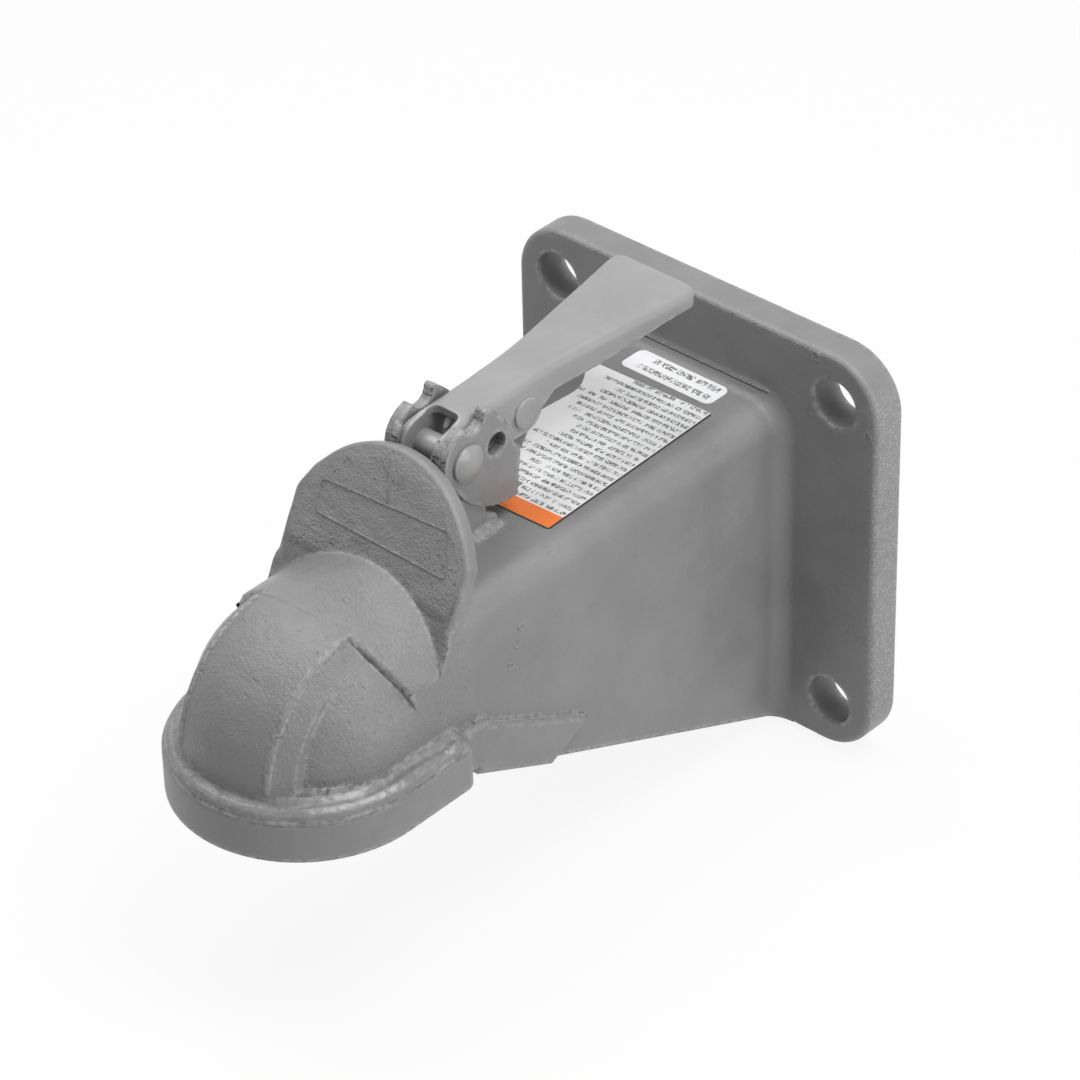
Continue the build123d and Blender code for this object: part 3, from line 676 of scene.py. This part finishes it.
def make_mottle():
    """Two close tones of one paint that drift into each other in soft patches."""
    group, start, end = new_group(
        "mottled_tone",
        [
            ("Dark", "NodeSocketColor", (0.2, 0.2, 0.2, 1.0)),
            ("Light", "NodeSocketColor", (0.3, 0.3, 0.3, 1.0)),
            ("Patch Scale", "NodeSocketFloat", 40.0),
        ],
        [("Color", "NodeSocketColor"), ("Patch", "NodeSocketFloat")],
    )
    patch = ranged(group, solid_noise(group, start.outputs["Patch Scale"], 5.0, 0.6), 0.3, 0.7)
    mix = group.nodes.new("ShaderNodeMix")
    mix.data_type = "RGBA"
    group.links.new(patch, mix.inputs["Factor"])
    group.links.new(start.outputs["Dark"], mix.inputs["A"])
    group.links.new(start.outputs["Light"], mix.inputs["B"])
    group.links.new(mix.outputs["Result"], end.inputs["Color"])
    group.links.new(patch, end.inputs["Patch"])
    return group


cast_grain = make_cast_grain()
edge_wear = make_edge_wear()
mottled_tone = make_mottle()


def place_group(tree, group, **values):
    """One group in a material, with its own values."""
    node = tree.nodes.new("ShaderNodeGroup")
    node.node_tree = group
    for name, value in values.items():
        node.inputs[name.replace("_", " ").title()].default_value = value
    return node


def mixed(tree, mask, first, second):
    """Two colours mixed by a mask; each is a tuple or a socket."""
    mix = tree.nodes.new("ShaderNodeMix")
    mix.data_type = "RGBA"
    tree.links.new(mask, mix.inputs["Factor"])
    for name, value in (("A", first), ("B", second)):
        if isinstance(value, tuple):
            mix.inputs[name].default_value = value
        else:
            tree.links.new(value, mix.inputs[name])
    return mix.outputs["Result"]


def grey(level):
    """A neutral colour."""
    return (level, level, level, 1.0)


def bumped(tree, height, distance, below, shader):
    """Fine relief on a shader, over a normal that may be softened already."""
    bump = tree.nodes.new("ShaderNodeBump")
    bump.inputs["Strength"].default_value = 1.0
    bump.inputs["Distance"].default_value = distance
    tree.links.new(height, bump.inputs["Height"])
    if below:
        tree.links.new(below, bump.inputs["Normal"])
    tree.links.new(bump.outputs["Normal"], shader.inputs["Normal"])


def make_cast_paint():
    """One coat of grey on a sand casting: orange peel, coarse shield, pooled and worn places."""
    paint = bpy.data.materials.new("cast_paint")
    paint.use_nodes = True
    tree = paint.node_tree
    shader = tree.nodes["Principled BSDF"]
    place = tree.nodes.new("ShaderNodeTexCoord")
    axes = tree.nodes.new("ShaderNodeSeparateXYZ")
    tree.links.new(place.outputs["Object"], axes.inputs[0])
    along, across, height = axes.outputs

    # Masks of the dome, the shield's face, the flange's near edge and the rim's shoulder.
    dome = math_node(
        tree, "MULTIPLY", ranged(tree, along, 0.158, 0.166), ranged(tree, height, 0.004, 0.008)
    )
    leaning = tree.nodes.new("ShaderNodeVectorMath")
    leaning.operation = "DOT_PRODUCT"
    tree.links.new(place.outputs["Normal"], leaning.inputs[0])
    leaning.inputs[1].default_value = tuple(shield_normal)
    shield_face = ranged(tree, leaning.outputs["Value"], 0.985, 0.995)
    shield_face = math_node(tree, "MULTIPLY", shield_face, ranged(tree, height, 0.046, 0.05))
    flange_edge = math_node(
        tree, "MULTIPLY", ranged(tree, along, 0.0135, 0.0125), ranged(tree, across, 0.071, 0.0755)
    )
    from_ball = math_node(
        tree,
        "SQRT",
        math_node(
            tree,
            "ADD",
            math_node(tree, "POWER", math_node(tree, "SUBTRACT", along, ball_x / 1000), 2.0),
            math_node(tree, "POWER", across, 2.0),
        ),
    )
    shoulder = math_node(
        tree, "MULTIPLY", ranged(tree, height, 0.0035, 0.005), ranged(tree, height, 0.0115, 0.0095)
    )
    shoulder = math_node(tree, "MULTIPLY", shoulder, ranged(tree, from_ball, 0.0368, 0.038))
    shoulder = math_node(tree, "MULTIPLY", shoulder, ranged(tree, along, 0.166, 0.170))

    # Colour: two close greys, a paler grey on the shield's face that is painted light, paler grains
    # on the flange's edge, grime, and rubbed edges.
    tone = place_group(tree, mottled_tone, dark=grey(0.19), light=grey(0.228), patch_scale=30.0)
    # Painted light: the shield's forward face gets a paler grey of its own, which brightens that face
    # as if more light fell on it.
    colour = mixed(tree, shield_face, tone.outputs["Color"], grey(0.27))
    speckle = ranged(tree, solid_noise(tree, 1500.0, 2.0, 0.7), 0.50, 0.66)
    colour = mixed(tree, math_node(tree, "MULTIPLY", speckle, flange_edge), colour, grey(0.36))
    grime = ranged(tree, solid_noise(tree, 110.0, 6.0, 0.7), 0.58, 0.70)
    colour = mixed(tree, math_node(tree, "MULTIPLY", grime, 0.35), colour, grey(0.15))
    wear = place_group(tree, edge_wear, width=0.0034, breakup=520.0)
    rubbed = math_node(tree, "MULTIPLY", wear.outputs["Mask"], 0.85)
    colour = mixed(tree, rubbed, colour, grey(0.40))
    tree.links.new(colour, shader.inputs["Base Color"])

    rough = ranged(tree, tone.outputs["Patch"], 0.0, 1.0, 0.36, 0.46)
    rough = math_node(tree, "SUBTRACT", rough, math_node(tree, "MULTIPLY", dome, 0.08))
    rough = math_node(tree, "ADD", rough, math_node(tree, "MULTIPLY", shield_face, 0.15))
    rough = math_node(tree, "SUBTRACT", rough, math_node(tree, "MULTIPLY", shoulder, 0.12))
    tree.links.new(rough, shader.inputs["Roughness"])

    # Relief: fine grain, deepest on the dome, coarse sand on the shield, pooled paint at the rim.
    fine = place_group(tree, cast_grain, grain_scale=1000.0, pit_depth=0.5)
    coarse = place_group(tree, cast_grain, grain_scale=1250.0, pit_depth=0.8)
    depth = math_node(tree, "ADD", 0.38, math_node(tree, "MULTIPLY", dome, 0.95))
    depth = math_node(tree, "SUBTRACT", depth, math_node(tree, "MULTIPLY", shoulder, 1.1))
    relief = math_node(tree, "MULTIPLY", fine.outputs["Height"], depth)
    sand = math_node(tree, "MULTIPLY", coarse.outputs["Height"], shield_face)
    relief = math_node(tree, "ADD", relief, math_node(tree, "MULTIPLY", sand, 2.0))
    pool = math_node(tree, "MULTIPLY", solid_noise(tree, 120.0, 2.0), shoulder)
    relief = math_node(tree, "ADD", relief, math_node(tree, "MULTIPLY", pool, 4.0))
    bumped(tree, relief, 0.00034, wear.outputs["Soft Normal"], shader)
    return paint


def finished(piece, material, body, slot, *stands_for):
    """A scene piece with its finish, its body and the CAD pieces that it stands for."""
    piece.data.materials.clear()
    piece.data.materials.append(material)
    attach(piece, body)
    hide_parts(*stands_for)


cast_paint = make_cast_paint()
finished(casting, cast_paint, "frame_body", "cast_paint", "coupler_casting")


# The ball clamp under the back of the ball: a steel forging, painted with the casting.
# It swings on the clamp pin, a headed pin through two lugs that a snap ring keeps in.
def make_paint(name, dark, light, worn, grain_scale, grain_depth, soft_edge, roughness):
    """Grey paint over steel: mottled tone, the metal's grain, and lighter rubbed edges."""
    paint = bpy.data.materials.new(name)
    paint.use_nodes = True
    tree = paint.node_tree
    shader = tree.nodes["Principled BSDF"]
    tone = place_group(tree, mottled_tone, dark=grey(dark), light=grey(light), patch_scale=35.0)
    wear = place_group(tree, edge_wear, width=soft_edge, breakup=260.0)
    grain = place_group(tree, cast_grain, grain_scale=grain_scale, pit_depth=0.5)
    colour = mixed(tree, wear.outputs["Mask"], tone.outputs["Color"], grey(worn))
    tree.links.new(colour, shader.inputs["Base Color"])
    rough = ranged(tree, tone.outputs["Patch"], 0.0, 1.0, roughness - 0.05, roughness + 0.07)
    tree.links.new(rough, shader.inputs["Roughness"])
    bumped(tree, grain.outputs["Height"], grain_depth, wear.outputs["Soft Normal"], shader)
    return paint


def dress(node, material):
    """A CAD piece that keeps its shape and gets its real finish."""
    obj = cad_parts[node]
    obj.data.materials.clear()
    obj.data.materials.append(material)


forged_paint = make_paint(
    "forged_paint",
    dark=0.18,
    light=0.22,
    worn=0.32,
    grain_scale=500.0,
    grain_depth=0.0002,
    soft_edge=0.0015,
    roughness=0.42,
)
dress("ball_clamp", forged_paint)


def make_bare_steel(name, colour, roughness, grain_scale):
    """Turned or rolled steel with fine marks and a little staining."""
    steel = bpy.data.materials.new(name)
    steel.use_nodes = True
    tree = steel.node_tree
    shader = tree.nodes["Principled BSDF"]
    shader.inputs["Metallic"].default_value = 1.0
    tone = place_group(
        tree, mottled_tone, dark=grey(colour * 0.8), light=grey(colour), patch_scale=160.0
    )
    tree.links.new(tone.outputs["Color"], shader.inputs["Base Color"])
    rough = ranged(tree, tone.outputs["Patch"], 0.0, 1.0, roughness, roughness + 0.15)
    tree.links.new(rough, shader.inputs["Roughness"])
    bumped(tree, solid_noise(tree, grain_scale, 3.0), 0.00003, None, shader)
    return steel


pin_steel = make_bare_steel("pin_steel", colour=0.45, roughness=0.32, grain_scale=1500.0)
dress("clamp_pin", pin_steel)
spring_steel = make_bare_steel("spring_steel", colour=0.28, roughness=0.35, grain_scale=2200.0)
dress("clamp_pin_clip", spring_steel)
dress("clamp_spring", spring_steel)


# The pull link: a flat steel bar, punched and zinc dull, from the catch pin down to the clamp.
# Its lower eye is slotted round the link pin, which is riveted over both clamp arms.
dress("pull_link", pin_steel)
dress("link_pin", pin_steel)


# The latch lever: sheet steel pressed into a channel, closed and rounded at the grip.
# Its front end is open between the ears, and a boss on each side carries the catch pin.
# It is painted like the casting, but the sheet is smooth, so the paint lies flatter on it.
lever_pin = (134.0, 79.0)
catch_pin = (102.9, 80.0)
sheet = 2.6
lever_front_x = 130.6
lever_rear_x = 29.6
lever_front_z = 90.3
lever_rear_z = 94.9
lever_end_x = 144.6
neck_x = 111.0
neck_half = 8.5
kink_x = 94.0
kink_half = 8.8
kink_draw = 0.1
kink_step = 3
kink_steps = 4
rear_half = 17.2
rear_corner_r = 5.0
flare = (rear_half - kink_half) / (kink_x - lever_rear_x)
lever_bend_r = 4.0
cheek_r = 9.6
boss_r = 7.4
boss_disc_r = 6.3
boss_face = 8.9


def web_top(x):
    """Height of the top of the lever at a place along it."""
    rise = lever_rear_z - lever_front_z
    length = lever_front_x - lever_rear_x
    return lever_front_z + (lever_front_x - x) * rise / length


def channel_plan(inset):
    """Half outline of the lever from above, from its open front end to the middle of the grip."""
    plan = [(lever_end_x, neck_half - inset), (neck_x, neck_half - inset)]
    for step in range(-kink_steps, kink_steps + 1):
        x = kink_x - kink_step * step
        softened = kink_step * (step + kink_steps) ** 2 / (4 * kink_steps)
        plan.append((x, kink_half - kink_draw + flare * softened - inset))
    corner_r = rear_corner_r - inset
    slope = math.degrees(math.atan(flare))
    centre_x = lever_rear_x + rear_corner_r
    centre_y = rear_half - rear_corner_r
    plan += arc((centre_x, centre_y), corner_r, 90 - slope, 180, 8)
    return plan


def channel_form(inset, drop, bend_r):
    """Solid form of the lever's channel, or of its inside, with a round bend along the top."""
    low = lever_pin[1] - 2 * cheek_r
    rings = []
    for level in range(8):
        angle = math.radians(90 * max(level - 1, 0) / 6)
        drawn_in = inset + bend_r * (1 - math.cos(angle))
        half = channel_plan(drawn_in)
        plan = half + [(x, -y) for x, y in reversed(half)]
        if level == 0:
            rings.append([(x, y, low) for x, y in plan])
        else:
            below = drop + bend_r * (1 - math.sin(angle))
            rings.append([(x, y, web_top(x) - below) for x, y in plan])
    return stacked(rings)


channel = shape_from("lever_channel", channel_form(0, 0, lever_bend_r))
skirt_mid_x = 72.0
skirt_depth = 9.6
grip_depth = 6.2
side_outline = [
    (lever_rear_x - 1, web_top(lever_rear_x) + sheet),
    (lever_front_x, web_top(lever_front_x) + sheet),
    (lever_front_x, web_top(lever_front_x)),
    (lever_pin[0], lever_pin[1] + cheek_r),
    (lever_pin[0], lever_pin[1] - cheek_r),
    (lock_x, catch_pin[1] - boss_r),
    (catch_pin[0], catch_pin[1] - boss_r),
    (catch_pin[0] - boss_r - 1, catch_pin[1] - 1),
    (kink_x - 4, web_top(kink_x) - skirt_depth),
    (skirt_mid_x, web_top(skirt_mid_x) - skirt_depth),
    (lever_rear_x + 12, web_top(lever_rear_x) - grip_depth - 1),
    (lever_rear_x - 1, web_top(lever_rear_x) - grip_depth),
]
past_sides = 30
side_form = shape_from("side_form", side_plate(side_outline, -past_sides, past_sides))
cheek = shape_from("cheek", bar(*lever_pin, cheek_r, -past_sides, past_sides))
combined(side_form, cheek, "UNION")
boss = shape_from("boss", bar(*catch_pin, boss_r, -past_sides, past_sides))
combined(side_form, boss, "UNION")
combined(channel, side_form, "INTERSECT")
inside = shape_from("inside", channel_form(sheet, sheet, lever_bend_r - sheet))
combined(channel, inside, "DIFFERENCE")

# The web stops short of the ears, so the channel's mouth is open above the lever pin.
mouth_half = neck_half - sheet
mouth_corner_r = 3.0
mouth_rear_x = 128.5
mouth_front_x = 160
mouth_z = (60, 100)
corner_x = mouth_rear_x + mouth_corner_r
corner_y = mouth_half - mouth_corner_r
mouth_plan = [(mouth_front_x, -mouth_half), (mouth_front_x, mouth_half)]
mouth_plan += arc((corner_x, corner_y), mouth_corner_r, 90, 180, 6)
mouth_plan += arc((corner_x, -corner_y), mouth_corner_r, 180, 270, 6)
mouth = stacked([[(x, y, z) for x, y in mouth_plan] for z in mouth_z])
combined(channel, shape_from("mouth", mouth), "DIFFERENCE")

# A flat disc on each side is the boss's face, and the lock hole runs through both walls.
disc_root = neck_half - 1.5
disc_edge_r = 0.5
discs = [bar(*catch_pin, boss_disc_r, s * disc_root, s * boss_face) for s in (-1, 1)]
combined(channel, rounded(shape_from("discs", *discs), disc_edge_r, 2), "UNION")
lock_way = shape_from("lock_way", bar(lock_x, lock_z, lock_r, -lock_reach, lock_reach))
combined(channel, lock_way, "DIFFERENCE")
smooth_shaded(channel)
lever_paint = make_paint(
    "lever_paint",
    dark=0.27,
    light=0.305,
    worn=0.46,
    grain_scale=420.0,
    grain_depth=0.00012,
    soft_edge=0.0020,
    roughness=0.36,
)
finished(channel, lever_paint, "lever_body", "lever_paint", "latch_lever")


# The lever pin and the catch pin: headed steel pins, riveted over and painted with the lever.
# The lever pin's domed heads are rubbed shiny, and the catch pin's flat ones have a turned rim.
def turned(name, centre, profile):
    """A piece turned about an axis across the head, from (place across, radius) pairs."""
    steps = 64
    rings = []
    for y, radius in profile:
        rings.append([(x, y, z) for x, z in arc(centre, radius, 0, 360 * (1 - 1 / steps), steps - 1)])
    return shape_from(name, stacked(rings))


def pin_profile(shank_r, seat_y, head_r, head_height, flat_r):
    """Profile of a pin from end to end, with a domed or flat head at each."""
    steps = 8
    rim = 0.3
    tip_r = 0.05
    half = [(0.0, shank_r), (seat_y, shank_r), (seat_y, head_r), (seat_y + rim * head_height, head_r)]
    for step in range(1, steps + 1):
        out = 1 - step / steps
        radius = flat_r + (head_r - flat_r) * out
        half.append((seat_y + head_height * (rim + (1 - rim) * (1 - out**2)), max(radius, tip_r)))
    return [(-y, radius) for y, radius in reversed(half[1:])] + half[1:]


head_gap = 0.05
pivot_sizes = {"shank_r": 4.5, "head_r": 6.3, "head_height": 3.0, "flat_r": 0.0}
pivot = turned("lever_pivot_pin", lever_pin, pin_profile(seat_y=ear_outer + head_gap, **pivot_sizes))
rivet_sizes = {"shank_r": 3.5, "head_r": 5.5, "head_height": 0.9, "flat_r": 4.6}
rivet = turned("catch_rivet", catch_pin, pin_profile(seat_y=boss_face + head_gap, **rivet_sizes))
for piece in (pivot, rivet):
    smooth_shaded(piece)
pin_paint = make_paint(
    "pin_paint",
    dark=0.25,
    light=0.30,
    worn=0.42,
    grain_scale=420.0,
    grain_depth=0.00006,
    soft_edge=0.0016,
    roughness=0.22,
)
finished(pivot, pin_paint, "frame_body", "lever_paint", "lever_pin")
finished(rivet, pin_paint, "lever_body", "lever_paint", "catch_pin")


# The catch under the lever: folded sheet steel that hooks behind the ledge between the ears.
# A small coil spring under the grip pushes its finger lobe down.
catch_paint = make_paint(
    "catch_paint",
    dark=0.16,
    light=0.20,
    worn=0.34,
    grain_scale=420.0,
    grain_depth=0.00012,
    soft_edge=0.0011,
    roughness=0.38,
)
dress("catch", catch_paint)
dress("catch_spring", spring_steel)


# The two labels on the top face: white printed film, stuck down after painting.
# Rows of dashes and one plain orange band stand for the print. A dark line along the large label's
# near and front edges is a painted shadow of the film's edge.
label_thickness = 0.15
large_length = 82.0
large_width = 48.0
large_corner_r = 1.5
large_x = 72.8
large_y = 1.1
large_turn = math.radians(2.0)
large_plan = []
for sx, sy, start in ((1, 1, 0), (-1, 1, 90), (-1, -1, 180), (1, -1, 270)):
    corner = (sx * (large_length / 2 - large_corner_r), sy * (large_width / 2 - large_corner_r))
    large_plan += arc(corner, large_corner_r, start, start + 90, 5)
turned_plan = []
for x, y in large_plan:
    turned_plan.append(
        (
            large_x + x * math.cos(large_turn) - y * math.sin(large_turn),
            large_y + x * math.sin(large_turn) + y * math.cos(large_turn),
        )
    )
label_levels = (body_top_z + 0.01, body_top_z + label_thickness)
large_rings = [[(x, y, z) for x, y in turned_plan] for z in label_levels]
large_label = shape_from("large_label", stacked(large_rings))
notch_half = 3.6
notch_low = (99.1, -notch_half, 40)
notch_high = (130, notch_half, 60)
combined(large_label, shape_from("slot_notch", block(notch_low, notch_high)), "DIFFERENCE")

small_length = 37.9
small_width = 11.2
small_corner_r = 2.5
small_x = 22.6
small_y = 0.3
root_r = 6.5
root_x = flange_thickness + root_r
small_rows = []
small_steps = 16
for step in range(small_steps + 1):
    from_rear = small_width * (1 - math.cos(math.pi * step / small_steps)) / 2
    x = small_x - small_width / 2 + from_rear
    inside = max(0.0, small_corner_r - min(from_rear, small_width - from_rear))
    half = small_length / 2 - small_corner_r + math.sqrt(small_corner_r**2 - inside**2)
    climb = root_r - math.sqrt(root_r**2 - max(0.0, root_x - x) ** 2)
    low = body_top_z + climb + face_gap
    small_rows.append(
        [
            (x, small_y - half, low),
            (x, small_y + half, low),
            (x, small_y + half, low + label_thickness),
            (x, small_y - half, low + label_thickness),
        ]
    )
small_label = shape_from("small_label", stacked(small_rows))


def make_dash_rows():
    """Mask of printed rows: broken dashes of uneven length, as fine print looks from afar."""
    group, start, end = new_group(
        "dash_rows",
        [
            ("Place", "NodeSocketVector", (0.0, 0.0, 0.0)),
            ("Pitch", "NodeSocketFloat", 0.0034),
            ("Thickness", "NodeSocketFloat", 0.5),
            ("Shortest", "NodeSocketFloat", 0.6),
            ("Width", "NodeSocketFloat", 0.044),
        ],
        [("Mask", "NodeSocketFloat")],
    )
    axes = group.nodes.new("ShaderNodeSeparateXYZ")
    group.links.new(start.outputs["Place"], axes.inputs[0])
    rows = math_node(group, "DIVIDE", axes.outputs["X"], start.outputs["Pitch"])
    row = math_node(group, "FLOOR", rows)
    level = math_node(group, "FRACT", rows)
    inked = math_node(group, "LESS_THAN", level, start.outputs["Thickness"])
    chance = group.nodes.new("ShaderNodeTexWhiteNoise")
    chance.noise_dimensions = "1D"
    group.links.new(row, chance.inputs["W"])
    span = math_node(group, "SUBTRACT", 1.0, start.outputs["Shortest"])
    length = math_node(group, "MULTIPLY", chance.outputs["Value"], span)
    length = math_node(group, "ADD", length, start.outputs["Shortest"])
    from_near = math_node(group, "DIVIDE", axes.outputs["Y"], start.outputs["Width"])
    reach = math_node(group, "LESS_THAN", math_node(group, "SUBTRACT", 0.5, from_near), length)
    margin = math_node(group, "LESS_THAN", from_near, 0.5)
    spot = group.nodes.new("ShaderNodeCombineXYZ")
    group.links.new(math_node(group, "MULTIPLY", row, 7.31), spot.inputs["X"])
    group.links.new(math_node(group, "MULTIPLY", axes.outputs["Y"], 620.0), spot.inputs["Y"])
    words = group.nodes.new("ShaderNodeTexNoise")
    words.inputs["Scale"].default_value = 1.0
    words.inputs["Detail"].default_value = 1.0
    group.links.new(spot.outputs[0], words.inputs["Vector"])
    strokes = group.nodes.new("ShaderNodeTexNoise")
    strokes.inputs["Scale"].default_value = 1700.0
    strokes.inputs["Detail"].default_value = 0.0
    group.links.new(start.outputs["Place"], strokes.inputs["Vector"])
    ink = ranged(group, strokes.outputs["Fac"], 0.49, 0.60, 1.0, 0.0)
    ink = math_node(group, "MULTIPLY", ink, ranged(group, words.outputs["Fac"], 0.38, 0.42))
    mask = math_node(group, "MULTIPLY", math_node(group, "MULTIPLY", inked, reach), ink)
    mask = math_node(group, "MULTIPLY", mask, margin)
    group.links.new(mask, end.inputs["Mask"])
    return group


dash_rows = make_dash_rows()
film_white = (0.78, 0.78, 0.79, 1.0)


def make_label_film(name, centre, turn_angle, rows):
    """White film with rows of dashes: the material, the place in the label, and the colour."""
    film = bpy.data.materials.new(name)
    film.use_nodes = True
    tree = film.node_tree
    tree.nodes["Principled BSDF"].inputs["Roughness"].default_value = 0.4
    place = tree.nodes.new("ShaderNodeTexCoord")
    shift = tree.nodes.new("ShaderNodeVectorMath")
    shift.operation = "SUBTRACT"
    tree.links.new(place.outputs["Object"], shift.inputs[0])
    shift.inputs[1].default_value = (centre[0] / 1000, centre[1] / 1000, 0.0)
    spin = tree.nodes.new("ShaderNodeVectorRotate")
    spin.rotation_type = "Z_AXIS"
    spin.inputs["Angle"].default_value = -turn_angle
    tree.links.new(shift.outputs[0], spin.inputs["Vector"])
    print_rows = place_group(tree, dash_rows, **rows)
    tree.links.new(spin.outputs[0], print_rows.inputs["Place"])
    faded = ranged(tree, solid_noise(tree, 260.0, 3.0), 0.3, 0.7, 0.75, 0.95)
    mask = math_node(tree, "MULTIPLY", print_rows.outputs["Mask"], faded)
    return film, spin.outputs[0], mixed(tree, mask, film_white, grey(0.09))


large_film, spot, colour = make_label_film(
    "large_label_film",
    (large_x, large_y),
    large_turn,
    {"pitch": 0.0034, "thickness": 0.52, "shortest": 0.62, "width": 0.0455},
)
tree = large_film.node_tree
axes = tree.nodes.new("ShaderNodeSeparateXYZ")
tree.links.new(spot, axes.inputs[0])
band_rear_x = 106.0
band_orange = (0.84, 0.20, 0.035, 1.0)
band_start = (band_rear_x - large_x) / 1000
orange = math_node(tree, "GREATER_THAN", axes.outputs["X"], band_start)
colour = mixed(tree, orange, colour, band_orange)
# Painted shadow: a dark line along the large label's near and front edges stands in for the shade at
# the film's edge.
edge_shadow_width = 0.0007
near_edge_shadow = math_node(tree, "GREATER_THAN", axes.outputs["Y"], large_width / 2000 - edge_shadow_width)
front_edge_shadow = math_node(tree, "GREATER_THAN", axes.outputs["X"], large_length / 2000 - edge_shadow_width)
edge_shadow = math_node(tree, "MAXIMUM", near_edge_shadow, front_edge_shadow)
colour = mixed(tree, edge_shadow, colour, grey(0.03))
tree.links.new(colour, tree.nodes["Principled BSDF"].inputs["Base Color"])

small_print_x = small_x + 0.9
small_film, spot, colour = make_label_film(
    "small_label_film",
    (small_print_x, small_y),
    0.0,
    {"pitch": 0.0052, "thickness": 0.5, "shortest": 0.8, "width": 0.033},
)
tree = small_film.node_tree
tree.links.new(colour, tree.nodes["Principled BSDF"].inputs["Base Color"])
finished(large_label, large_film, "frame_body", "label_film", "large_sticker")
finished(small_label, small_film, "frame_body", "label_film", "small_sticker")


low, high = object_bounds()
